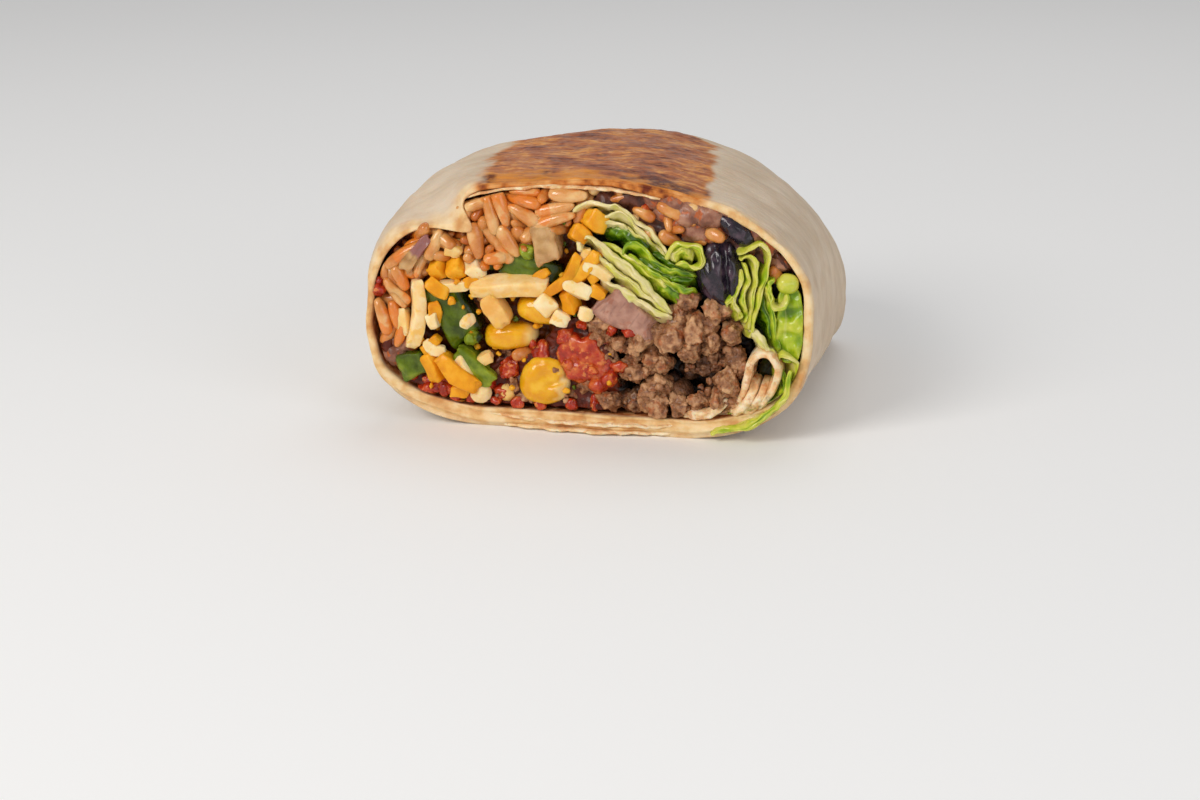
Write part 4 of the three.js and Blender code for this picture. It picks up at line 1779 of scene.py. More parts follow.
@dataclass
class Cheese(Layer):
    """Grated cheese: yellow and white shreds, some end on."""

    noise: Noise = noise_of(21)
    yellow: tuple[Lying, ...] = lying(
        (-29.8, 13.6, -27.6, 8.4, 0.9, 1.5, 0.2, 0.5), (-27.2, 13.4, -19.6, 7.6, 0.4, 1.9, -0.9, 0.5),
        (-7.2, 25.8, -0.9, 33.6, 0.5, 1.1, -1.2, 0.3), (-3.9, 28, 2.6, 34, 0.9, 1.3, -1, 0.45),
        (-28.4, 30.6, -26.9, 28.2, 1.2, 1.6, 0, 0.5, 2), (-24.9, 30.9, -23.4, 28.8, 0.8, 1.8, 0, 0.7, 2),
        (-29.6, 27.2, -25.6, 24.9, 1.3, 1.5, -0.5, 0.6), (-28.9, 23.2, -28.3, 19.2, 1.4, 1.3, 0.4, 0.4),
        (-3.4, 26.6, -2.4, 22.4, 1, 1.5, 0.3, 0.5, 1), (0.6, 41, 3.4, 38.6, 0.6, 1.9, 0, 0.7, 1.5),
        (-2.4, 38.2, 0.4, 36, 1, 1.6, 0.2, 0.5, 1), (1.2, 27.8, 3.6, 25.8, 1.3, 1.2, 0, 0.5),
        (-0.4, 30.6, 2.4, 28.6, 1.2, 1.2, 0.4, 0.6), (-25.2, 6.6, -22, 6, 1.1, 1.2, 0.3, 0.4),
        (-27.6, 16.6, -30.8, 14, 1.4, 1.2, 0.2, 0.4), (-22.6, 26.8, -19.8, 27.6, 1.6, 1.1, 0.2, 0.3),
        (-9.6, 27.4, -6.6, 30.4, 1.8, 1.1, 0.3, 0.3),
    )
    white: tuple[Lying, ...] = lying(
        (-21.2, 26.3, -6.6, 27.6, 0.9, 1.75, 0.35, 0.55), (-31.6, 27.4, -33, 14.4, 0.9, 1.35, 1.1, 0.7),
        (-21.5, 30.9, -19.6, 28.8, 1, 1.75, 0, 0.95, 2), (-28.6, 21.6, -28.2, 18.6, 0.6, 1.1, 0, 0.9),
        (-22.2, 21.2, -20.9, 19.6, -0.4, 1.15, 0, 0.9), (-18.2, 25, -14.8, 19.8, 0.9, 2, 0.2, 0.05),
        (-8.6, 25.4, -5.6, 22.6, 0.5, 1.9, 0, 0.95, 0.5), (-5.8, 22.4, -3, 20.9, 0.3, 1.5, 0, 1, 0.8),
        (-3.8, 28.4, 1.4, 25.9, 0.4, 1.5, 0.2, 1, 0.6), (-1, 23, 1.6, 22.2, 0.6, 1.3, 0, 0.9, 0.6),
        (0.2, 32.3, 5.2, 29.3, 0.5, 1.15, 0.3, 0.8, 0.6), (-34.6, 21.8, -34.2, 16.6, 1.5, 1.2, 0.2, 0.6),
        (-30.2, 16, -26.2, 14.4, 0.9, 1.1, -1.1, 0.9), (-27.6, 26.6, -20.6, 27.4, 1.7, 1, -0.7, 0.6),
        (-26.2, 33.8, -23.2, 32.9, 1.3, 1.3, 0.2, 0.5, 1), (-20.2, 12.4, -17.6, 13.6, 1.5, 1.1, 0, 0.3),
        (-23.6, 13.6, -21, 9.6, 0.8, 1.2, -0.4, 0.85), (0.4, 34.6, -0.8, 31, 1.6, 1.1, 0.3, 0.5),
    )

    def block(self, rods: Rods) -> None:
        """Keeps the shreds' places clear of loose grains."""
        for shred in (*self.yellow, *self.white):
            rods.block(shred.path(self.section).at(np.linspace(0.1, 0.9, 5)), shred.half * 0.9)

    def build(self) -> None:
        """Makes the shreds, one piece for each colour."""
        bar = block(3, 0.26)
        unit = bar.unit
        along = 0.5 + 0.5 * unit[:, 2]
        for name, kind in (("cheddar", self.yellow), ("white_cheese", self.white)):
            batch = Batch(name + "_shreds")
            for shred in kind:
                lean = (0.5 * np.sin(9 * shred.x0), 1.0, 0.5 * np.cos(5 * shred.z0))
                taper = shred.half * (1 - 0.22 * np.abs(unit[:, 2]) ** 3)
                path = shred.path(self.section)
                points = path.laid(along, 1.1 * taper * unit[:, 0], 0.92 * taper * unit[:, 1], lean)
                points += 0.3 * unit * self.noise.layered(points, 1.7, 2)[:, None]
                points[:, 2] += 0.3 * self.noise.smooth(points + 3, 3.2)
                batch.add(bar, points, shred.tone, columns(along, unit[:, 0], unit[:, 1]))
            batch.piece(self.finishes[name], "cheese", within=self.section)


@dataclass(frozen=True)
class Ribbon:
    """One folded leaf: its route across the cut, its sizes, how far behind the cut, and its tone."""

    route: tuple[Spot, ...]
    half: float
    depth: float
    front: float
    tone: float


@dataclass
class Leaves(Layer):
    """Shredded lettuce: folded ribs and leaves, seen edge on at the cut."""

    straight_depth: float = 3.0
    noise: Noise = noise_of(31)
    bundle: tuple[Ribbon, ...] = (
        Ribbon((
            (-0.9, 42.4), (2, 43.5), (6, 42.9), (10.2, 40.6), (13.4, 37.8), (16, 35.2),
        ), 0.42, 8, 0, 0.02),
        Ribbon((
            (1.6, 41.4), (4.6, 41.2), (7.2, 41.4), (9, 40.2), (11.6, 37.6), (14.4, 35.2),
        ), 0.34, 8, 0.5, 0.1),
        Ribbon(((0.4, 40.2), (3.4, 39.6), (6.2, 39.8), (8.4, 38.4)), 0.4, 7, 1, 0.08),
        Ribbon(((6.2, 40.6), (8.4, 38.8), (11.6, 36.6), (15, 34.4), (17.6, 33.6)), 0.4, 9, 1.4, 0.3),
        Ribbon((
            (-0.6, 35.6), (0.2, 37.1), (2.2, 37), (5.4, 34.2), (9.2, 31.2), (12.8, 27.6), (16.6, 24.2),
        ), 0.72, 6, -0.1, 0.12),
        Ribbon((
            (0.6, 34.6), (3.4, 33.4), (6.6, 30.9), (10.4, 27.8), (14.4, 25.2), (16.4, 24),
        ), 0.6, 6, 0, 0.2),
        Ribbon(((3.4, 37), (5.6, 36), (8.2, 33.6), (11.8, 31), (15.2, 28.4), (18.6, 26.8)), 0.5, 8, 0.5, 0.4),
        Ribbon(((3.2, 29.9), (6.4, 28.2), (10.2, 25.9), (13.4, 24.2), (16.9, 23.3)), 0.55, 6, -0.4, 0.02),
        Ribbon(((4, 38.9), (7, 38.2), (10.4, 37), (12.4, 36)), 1.3, 6, 1.6, 1),
        Ribbon((
            (8, 35.6), (8.8, 36.7), (10.6, 36.2), (12.8, 34), (15.8, 32.2), (18.6, 31.6), (21.8, 31.7),
        ), 0.5, 8, -0.2, 0.78),
        Ribbon((
            (8.2, 35.2), (10.2, 33.2), (13, 31.2), (16.6, 29.2), (19.4, 28.4), (21.8, 28.8),
        ), 0.55, 8, 0, 0.68),
        Ribbon(((9.8, 34.2), (13, 31.6), (16.6, 30.2), (21.4, 30.2)), 0.8, 8, 1, 0.9),
        Ribbon(((11.4, 31.4), (14, 29.2), (17.2, 27.4), (20.4, 26.6)), 0.8, 8, 0.8, 0.8),
        Ribbon(((12.4, 35), (15.4, 33), (18.4, 31.2), (21.6, 30.9)), 0.6, 8, 1.4, 0.95),
        Ribbon((
            (15.8, 35.2), (17.6, 36.8), (20.6, 36.6), (21.9, 34.6), (20, 33), (17, 33.6),
        ), 0.6, 6, -0.2, 0.42),
        Ribbon(((16.8, 34.6), (18.6, 35.4), (20.4, 34.6)), 0.9, 6, 0.3, 0.34),
        Ribbon((
            (29.4, 35.4), (31.6, 36.4), (34, 35.8), (34, 32.6), (32.8, 28), (32, 24), (31.2, 19.4),
        ), 0.42, 7, 0, 0.36),
        Ribbon((
            (29.9, 34.2), (31.6, 34.2), (31.9, 31), (31.3, 27), (31, 24.2), (31, 20.8),
        ), 0.42, 7, 0.2, 0.5),
        Ribbon(((30, 33.2), (30.4, 30.4), (29.6, 27.2), (29.8, 24.6), (30.6, 21.6)), 0.42, 7, 0.4, 0.42),
        Ribbon(((29.4, 32), (28.9, 29.6), (27.6, 27.2), (26.6, 25.8), (27.2, 24)), 0.5, 7, 0.3, 0.4),
        Ribbon(((28.6, 28.6), (28, 26.2), (28.8, 24), (29.8, 22.4)), 0.6, 6, 0, 0.34),
        Ribbon(((33.6, 31.6), (34.2, 28), (34.8, 24), (35.8, 19.6), (36.6, 16.4)), 0.42, 7, 0.5, 0.72),
        Ribbon(((33, 28.4), (33.2, 25.6), (34.2, 22.4), (35.2, 19)), 0.6, 7, 1.2, 0.95),
        Ribbon(((31.4, 20.8), (33.2, 18.9), (35, 16.9), (36.6, 15.6)), 0.8, 6, 0.6, 0.1),
        Ribbon((
            (36.2, 31.2), (34.7, 30), (34.5, 27.8), (35.8, 26), (37.6, 26.6), (37.8, 28),
        ), 0.5, 5, -0.4, 0.6),
        Ribbon((
            (36, 15.2), (37.6, 16.6), (39.4, 15.6), (39.6, 12.6), (38.6, 9.4), (36, 6.4), (33, 4.2),
        ), 0.5, 7, 0, 0.5),
        Ribbon(((36.8, 14.2), (37.6, 11), (36, 7.8), (33.4, 5.2), (30.4, 3.6)), 0.5, 7, 0.3, 0.84),
        Ribbon((
            (38.2, 14), (37.4, 9.8), (34.9, 6.4), (31.2, 4.1), (27.2, 2.5), (23.4, 1.6),
        ), 0.62, 3, -1.1, 0.6),
    )
    facing: tuple[Ribbon, ...] = (
        Ribbon(((37.2, 29.4), (37.9, 24), (37.6, 18.4), (38, 15.2)), 2.7, 0.8, 2, 0.72),
        Ribbon(((35.6, 27), (36, 22.4), (36.8, 18)), 1.9, 0.8, 3, 0.75),
    )

    def block(self, rods: Rods) -> None:
        """Keeps the leaves' places clear of loose grains.

        Args:
            rods: The loose grains.
        """
        for leaf in self.bundle:
            path = Path([self.section.spot(x, z, leaf.front + 1) for x, z in leaf.route])
            spots = path.at(np.linspace(0, 1, 9))
            for back in (0, 3):
                rods.block(spots + [0, back, 0], max(leaf.half, 0.9))

    def build(self) -> None:
        """Makes the bundle, the bright leaf that faces out beside the wall, and its round curl."""
        batch = Batch("lettuce_shreds")
        thin = ball(30, 74)
        for leaf in self.bundle:
            self._folded(batch, thin, leaf)
        broad = ball(48, 60)
        for leaf in self.facing:
            path = Path([self.section.spot(x, z, leaf.front) for x, z in leaf.route])
            points, form = path.swept(broad.unit, leaf.half, leaf.depth, 0.3, 3.0, 1.0, (1, 0, 0))
            crinkle = 0.9 * self.noise.layered(points, 2.9, 2) - 0.4 * self.noise.pebbles(points, 2.2)
            points[:, 1] += crinkle
            # The tone rises where the crinkles lie further back: a darker green that paints shade in the
            # hollows.
            batch.add(broad, self.section.pressed(points), leaf.tone + 0.25 * crinkle, form)
        curl = even_ball(4)
        bulge = (1 + 0.12 * self.noise.smooth(curl.unit + 3, 0.8))[:, None]
        batch.add(curl, curl.unit * [2.1, 1.6, 1.9] * bulge + self.section.spot(37.1, 29.9, 1.4), 0.5)
        batch.piece(self.finishes["lettuce"], "lettuce")

    def _folded(self, batch: Batch, thin: Template, leaf: Ribbon) -> None:
        """Adds one folded leaf that runs back from the cut.

        Args:
            batch: The piece that it joins.
            thin: The starting shape.
            leaf: The leaf.
        """
        smooth = self.noise.smooth
        slanted = leaf.depth > self.straight_depth
        slant = np.array((-0.22, 0.82, -0.5) if leaf.route[-1][0] < 25 else (-0.5, 0.85, 0.05))
        slant = slant / np.linalg.norm(slant) if slanted else np.array((0.0, 1.0, 0.0))
        path = Path([slant * leaf.depth / 2 + self.section.spot(x, z, leaf.front) for x, z in leaf.route])
        along = np.arccos(np.clip(thin.unit[:, 2], -1, 1)) / np.pi
        swell = 1 + 0.35 * smooth(columns(along * 9, along * 0 + leaf.half * 40, along * 0), 1.6)
        points, form = path.swept(thin.unit, leaf.depth / 2, leaf.half * swell, 0.2, 6.0, 1.0, slant)
        points[:, 2] += 0.55 * smooth(points * [1, 0.7, 1], 3.4) + 0.28 * smooth(points, 1.3)
        points[:, 0] += 0.4 * smooth(points + 11, 2.8)
        points[:, 1] += 0.7 * smooth(points * [1, 0, 1] + 4, 2.4) * smoothstep(0.2, -1, form[:, 1])
        ridge = smooth(columns(form[:, 0] * 7, form[:, 2] * leaf.half * 3.0, form[:, 1] * 2.2), 0.8)
        points[:, 1] -= 0.3 * ridge * smoothstep(0.2, -0.8, form[:, 1])
        sway = 0.3 * smooth(points * [0.6, 1, 0.6] + 20, 1.9)
        points += np.cross(slant, (1.0, 0.0, 0.3)) * sway[:, None]
        if slanted:
            points = self.section.pressed(points)
        edge = 0.16 * np.abs(form[:, 2]) * (1 if leaf.tone < 0.5 else -0.8) - 0.22 * ridge
        batch.add(thin, points, leaf.tone + edge + 0.12 * smooth(points, 4.0), form)


@dataclass(frozen=True)
class Standing:
    """A berry-size piece at the cut, placed by its node.

    It has its turn in the plane of the cut, its tone, its sizes, and its shift from the node's middle.
    """

    node: str
    turn: float
    tone: float
    size: tuple[float, float, float]
    shift: tuple[float, float, float]

    def placed(self, unit: Array) -> Array:
        """Points of half size 1 at their real size and place.

        Args:
            unit: Rows of x, y, z.

        Returns:
            The rows, in millimetres.
        """
        low, high = (np.array(end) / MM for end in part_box(self.node))
        x, y, z = (unit * (np.array(self.size) / 2)).T
        c, s = math.cos(math.radians(self.turn)), math.sin(math.radians(self.turn))
        return columns(x * c - z * s, y, z * c + x * s) + (low + high) / 2 + np.array(self.shift)


@dataclass
class Chunks(Layer):
    """Pieces of berry size: corn, beans, diced pepper and onion, and tomato."""

    noise: Noise = noise_of(44)
    front_kernel: str = "corn_lower"
    corn: tuple[Standing, ...] = (
        Standing("corn_upper", -8, 0.6, (10.2, 8, 5.4), (0.2, 0.2, -0.2)),
        Standing("corn_middle", 4, 0.45, (10, 8, 5.5), (0.2, 0.4, 0)),
        Standing("corn_lower", 12, 0.55, (9.4, 6, 8.8), (0, -0.2, 0.2)),
    )
    beans: tuple[Standing, ...] = (
        Standing("black_bean_large", 14, 0.5, (8.6, 8, 12.8), (-0.2, -0.5, 0.3)),
        Standing("black_bean_small", -38, 0.1, (9.6, 7, 4.4), (0.2, 0.2, 0)),
    )
    chiles: tuple[Standing, ...] = (
        Standing("chile_dark", 28, 0.35, (7.2, 9, 11.4), (0, 1.2, 0)),
        Standing("chile_olive", -12, 0.35, (10.6, 8, 4.4), (0, 1.4, 0)),
        Standing("pepper_green", -36, 0.8, (8.6, 6, 3.9), (0, 0, 0)),
        Standing("pepper_left", 18, 0.35, (5.6, 6, 4.8), (0, 0.4, 0)),
    )
    onions: tuple[Standing, ...] = (
        Standing("onion_upper", 10, 0.5, (4.6, 6, 7), (-0.4, -0.5, -1.6)),
        Standing("onion_purple", 52, 0.2, (7.6, 5, 2.4), (0, -0.6, 0)),
    )
    tomatoes: tuple[Standing, ...] = (
        Standing("tomato_large", 0, 0.5, (11.4, 8, 11.4), (0.6, 0.2, -0.2)),
        Standing("tomato_small", 0, 0.6, (4.4, 6, 4.8), (0, 0.6, 0)),
        Standing("tomato_left", 0, 0.35, (7, 6, 4.8), (0, 0.6, 0)),
    )

    def block(self, rods: Rods) -> None:
        """Keeps the pieces' places clear of loose grains.

        Args:
            rods: The loose grains.
        """
        for chunk in (*self.corn, *self.beans, *self.chiles, *self.onions, *self.tomatoes):
            radius = min(chunk.size) / 2
            reach = np.linspace(-1, 1, 4)[:, None] * np.eye(3)[int(np.argmax(chunk.size))]
            reach *= 1 - radius / (max(chunk.size) / 2)
            rods.block(chunk.placed(reach), radius)

    def build(self) -> None:
        """Makes one piece for each kind."""
        self._corn()
        self._beans()
        self._diced("green_chile_pieces", self.chiles, self.finishes["green_chile"], "pepper")
        self._diced("onion_pieces", self.onions, self.finishes["onion"], "onion")
        self._tomato()

    def _corn(self) -> None:
        """Plump kernels, square at the crown and narrow at the tip."""
        batch = Batch("corn_kernels")
        egg = ball(40, 34)
        smooth = self.noise.smooth
        for kernel in self.corn:
            faces_out = kernel.node == self.front_kernel
            axis, across = (2, 0) if faces_out else (0, 2)
            form = egg.unit.copy()
            unit = form.copy()
            unit[:, axis], unit[:, across] = form[:, 2], form[:, 0]
            unit = unit * (np.sum(np.abs(unit) ** 2.7, axis=1) ** (-1 / 2.7))[:, None]
            unit[:, across] *= np.minimum(1 - 0.2 * unit[:, axis], 1.02)
            if faces_out:
                dimple = 0.2 * bell(np.linalg.norm(unit[:, [0, 2]] - [0.25, 0.2], axis=1), 0, 0.3)
                arc = bell(unit[:, 2] + 0.15 - 0.5 * (unit[:, 0] - 0.3) ** 2, 0, 0.12)
                crease = arc * smoothstep(-0.1, 0.4, unit[:, 0])
                unit[:, 1] += 1.3 * dimple + 0.3 * crease + 0.09 * smooth(unit, 0.4)
                unit += 0.07 * smooth(unit + 4, 0.6)[:, None] * unit
                form[:, 2] = 0.75 * unit[:, 0] - 0.35 * unit[:, 2] + 0.3 * smooth(unit, 0.35) + 0.2 * crease
            unit += 0.025 * smooth(unit, 0.6)[:, None]
            batch.add(egg, kernel.placed(unit), kernel.tone, form)
        batch.piece(self.finishes["sweetcorn"], "corn", [kernel.node for kernel in self.corn], levels=1)

    def _beans(self) -> None:
        """Black beans: the large one burst, with its skin in folds."""
        batch = Batch("black_beans")
        egg = even_ball(5)
        for index, bean in enumerate(self.beans):
            unit = egg.unit.copy()
            unit[:, 0] -= 0.18 * (1 - unit[:, 2] ** 2)
            fold = 1 - np.abs(self.noise.smooth(unit * [1, 1, 0.5] + 7 * index, 0.42)) * 2.4
            fine = self.noise.smooth(unit * [1, 1, 0.5] + 3, 0.16)
            unit *= (1 + 0.09 * np.clip(fold, -1, 1) * (1 - index * 0.6) + 0.02 * fine)[:, None]
            split = bell(unit[:, 0] - 0.12 - 0.2 * unit[:, 2], 0, 0.12) * (unit[:, 1] < 0) * (1 - index)
            unit[:, 1] += 0.34 * split
            # The tone follows the folds: lighter on the raised folds and darker in the creases, as painted
            # highlight and shade.
            batch.add(egg, bean.placed(unit), 0.4 + 0.175 * fold, unit)
        nodes = [bean.node for bean in self.beans]
        batch.piece(self.finishes["black_bean"], "black_bean", nodes, within=self.section)

    def _diced(self, name: str, group: Sequence[Standing], material: Material, slot: str) -> None:
        """Diced pieces with soft uneven edges, slightly bowed.

        Args:
            name: The name of the piece.
            group: What it is made of.
            material: The finish.
            slot: The record's material slot.
        """
        batch = Batch(name)
        cube = block(5, 0.24)
        for index, piece in enumerate(group):
            unit = cube.unit.copy()
            form = unit.copy()
            unit[:, 2] += 0.16 * (1 - unit[:, 0] ** 2)
            unit[:, 0] *= 1 + 0.12 * self.noise.smooth(unit[:, [2, 1, 0]] + index, 0.9)
            unit[:, 2] *= 1 - 0.16 * unit[:, 0]
            unit += 0.14 * self.noise.layered(unit + 3 * index, 0.9, 3)[:, None]
            form[:, 0] *= piece.node not in ("onion_upper", "pepper_green")
            form[:, 0] += 0.7 * (piece.node == "onion_purple")
            tone = piece.tone + 0.4 * self.noise.smooth(unit + 9 * index, 0.8)
            batch.add(cube, piece.placed(unit), tone, form)
        batch.piece(material, slot, [piece.node for piece in group], levels=1, within=self.section)

    def _tomato(self) -> None:
        """Soft diced tomato: pulpy lobes with a wet broken surface."""
        batch = Batch("tomato_pieces")
        egg = even_ball(5)
        for index, lump in enumerate(self.tomatoes):
            unit = egg.unit * (np.sum(np.abs(egg.unit) ** 3.2, axis=1) ** (-1 / 3.2))[:, None] * 0.93
            pulp = 0.2 * self.noise.layered(unit + 5 * index, 0.75, 3) - 0.1 * self.noise.pebbles(unit, 0.5)
            unit *= (1 + pulp)[:, None]
            # The tone follows the relief: lighter on raised lobes and darker in the pits, as painted highlight
            # and shade.
            batch.add(egg, lump.placed(unit), 0.5 + 1.6 * pulp, unit)
        nodes = [lump.node for lump in self.tomatoes]
        batch.piece(self.finishes["tomato"], "tomato", nodes, within=self.section)


@dataclass
class Beef(Layer):
    """Fried beef: crumbles of many small grains, and one sliced piece.

    Each crumble has its place x and z, how far behind the cut it starts, its radius and its tone.
    """

    hidden: int = 34
    noise: Noise = noise_of(52)
    rng: np.random.Generator = draws_of(52)
    sliced: Standing = Standing("beef_slice", -34, 0.75, (11.0, 9.0, 6.2), (0.0, -0.3, 0.4))
    crumbles: Rows = (
        (2.6, 20.3, 1, 2.9, 0.6), (3.6, 17.6, 1.4, 2.5, 0.5), (9.3, 18.2, 0.2, 2.9, 0.75),
        (7, 16.4, 1.6, 2.6, 0.5), (13.2, 19.2, 0.4, 2.9, 0.55), (16.8, 21.8, 0.2, 2.8, 0.55),
        (13.6, 22, 1, 2.2, 0.4), (20.4, 20.6, 0, 2.9, 0.6), (18.9, 25.2, 0.6, 2.5, 0.35),
        (24.4, 23.6, 0.8, 2.6, 0.7), (26.6, 20.6, 0.4, 2.5, 0.5), (23.4, 17.4, 0.6, 2.7, 0.55),
        (19.6, 16.8, 0.5, 2.4, 0.6), (16, 17.8, 0, 2.6, 0.5), (13.6, 14.2, 0.6, 2.9, 0.55),
        (11, 12.4, 1.4, 2, 0.4), (8.2, 12.2, 1, 2.4, 0.35), (3.6, 13.6, 1, 2.5, 0.5), (5, 9.4, 2.8, 2.2, 0.3),
        (12.6, 9.2, 0.5, 2.6, 0.6), (12.8, 6.4, 0.3, 2.9, 0.6), (17.6, 6.6, 0.6, 2.2, 0.55),
        (21.2, 7.4, 0.8, 2.2, 0.6), (26.4, 10.4, 0.2, 2.7, 0.7), (24.6, 7.8, 0.6, 2.2, 0.65),
        (27.2, 7.6, 1, 1.7, 0.6), (27.6, 16.4, 1.6, 2.6, 0.15), (24.6, 14.2, 2.2, 2.4, 0.15),
        (21, 13.2, 3.2, 2.3, 0.2), (8.2, 5.6, 2.6, 2.4, 0.4), (28.8, 13.4, 1.4, 1.8, 0.4),
        (9.6, 14.8, 2.2, 2.1, 0.3), (0.4, 8.4, 1.6, 2, 0.3), (-11.6, 6.2, 1.4, 1.9, 0.35),
        (-15.6, 14.8, 2.2, 1.6, 0.3), (-2.2, 7.2, 1.8, 1.9, 0.35), (-13.2, 8.2, 1.6, 1.6, 0.4),
        (4.2, 6.6, 1.4, 2.3, 0.35),
    )

    def block(self, rods: Rods) -> None:
        """Keeps the crumbles' places clear of loose grains."""
        for x, z, deep, radius, _ in self.crumbles:
            rods.block(self.section.spot(x, z, deep + radius)[None], radius)

    def build(self) -> None:
        """Makes the crumbles, coarse ones hidden behind them, and the sliced piece."""
        batch = Batch("beef_crumbles")
        fine, coarse = even_ball(4), even_ball(2)
        for x, z, deep, radius, tone in self.crumbles:
            self._crumble(batch, fine, self.section.spot(x, z, deep + radius * 0.8), radius, tone)
        # The coarse crumbles set further back get dark tones: painted shade.
        for _ in range(self.hidden):
            x, z = self.rng.uniform(2, 29), self.rng.uniform(5, 21)
            if self.section.clear(x, z, 2.5):
                place = self.section.spot(x, z, self.rng.uniform(6.0, 9.5))
                self._crumble(batch, coarse, place, self.rng.uniform(1.8, 2.8), self.rng.uniform(0.05, 0.35))
        batch.piece(self.finishes["beef"], "beef", within=self.section)
        self._slice()

    def _crumble(self, batch: Batch, lump: Template, middle: Array, radius: float, tone: float) -> None:
        """Adds one crumble: a few lumps pressed together, each of fine grains.

        Args:
            batch: The piece that it joins.
            lump: The starting shape.
            middle: Its place.
            radius: Its size.
            tone: Its tone.
        """
        for _ in range(3):
            shift = unit_rows(self.rng.normal(size=(1, 3)))[0] * radius * 0.42
            size = radius * self.rng.uniform(0.55, 0.85)
            unit = lump.unit * self.rng.uniform(0.7, 1.3, size=3)
            points = unit * size + middle + shift
            points += lump.unit * (0.9 * self.noise.smooth(points + 30, 3.6))[:, None]
            rough = 0.6 * (self.noise.pebbles(points, 1.0) - 0.6)
            rough += 0.5 * self.noise.layered(points, 1.7, 4, 0.7)
            points = points + lump.unit * rough[:, None]
            points[:, 1] = np.maximum(points[:, 1], self.section.cut_y - 0.9)
            # The tone follows the relief: lighter on raised grains and darker in the pits, as painted
            # highlight and shade.
            batch.add(lump, points, tone + 0.75 * rough, unit)

    def _slice(self) -> None:
        """Makes the sliced piece: flat, with fibres that run down it."""
        batch = Batch("beef_slice_cut")
        slab = block(7, 0.3)
        unit = slab.unit.copy()
        unit[:, 2] *= 1 - 0.3 * unit[:, 0] + 0.12 * self.noise.smooth(unit, 0.8)
        unit[:, 0] *= 1 - 0.16 * unit[:, 2] + 0.12 * self.noise.smooth(unit[:, [2, 1, 0]], 0.7)
        fibres = self.noise.smooth(unit * [3.2, 0.8, 0.9], 0.5)
        unit += 0.035 * fibres[:, None] * unit + 0.06 * self.noise.layered(unit + 2, 0.8, 2)[:, None]
        tone = 0.72 + 0.1 * fibres - 0.3 * (np.abs(unit[:, 0]) > 0.93)
        batch.add(slab, self.sliced.placed(unit), tone, unit[:, [2, 0, 1]])
        batch.piece(self.finishes["beef_slice_meat"], "beef", [self.sliced.node], levels=1)


@dataclass
class Mash(Layer):
    """Crushed beans between the rice grains: each lump's x and z, start, radius and tone."""

    noise: Noise = noise_of(61)
    lumps: Rows = (
        (12.6, 44.2, 1.4, 2.3, 0.7), (16, 43, 0.3, 2.3, 0.6), (19.2, 41.8, 0, 2.6, 0.8),
        (22.4, 41.4, 0.3, 2.7, 0.8), (20.4, 38.8, 0.9, 2.6, 0.75), (23.4, 38.4, 1.4, 2, 0.6),
        (17.4, 39.6, 1.2, 1.9, 0.4), (14.2, 41, 1.6, 1.9, 0.3), (10.4, 43.6, 2, 1.8, 0.4),
        (25.6, 43, 1, 1.7, 0.5), (31.4, 38.6, 1.5, 2.1, 0.35), (33.6, 36.2, 1.5, 2, 0.45),
        (35.6, 33.4, 1.6, 1.7, 0.5), (30.2, 36, 2.2, 1.8, 0.3), (-36.4, 12.4, 1.4, 2.4, 0.45),
        (-34.4, 14.6, 1.6, 2, 0.5), (-37.2, 15.2, 1.8, 1.9, 0.3), (6.6, 45, 2.2, 1.5, 0.4),
    )

    def build(self) -> None:
        """Makes the mash."""
        batch = Batch("bean_mash_lumps")
        lump = even_ball(4)
        for x, z, deep, radius, tone in self.lumps:
            points = lump.unit * radius * [1.25, 1.0, 1.0] + self.section.spot(x, z, deep + radius * 0.9)
            swell = 0.42 * self.noise.layered(points, 2.4, 3)
            # The tone follows the swell: lighter where the lumps bulge and darker in the hollows, as painted
            # highlight and shade.
            batch.add(lump, points + lump.unit * swell[:, None], tone + 0.4 * swell)
        batch.piece(self.finishes["bean_mash"], "bean_rice", within=self.section)


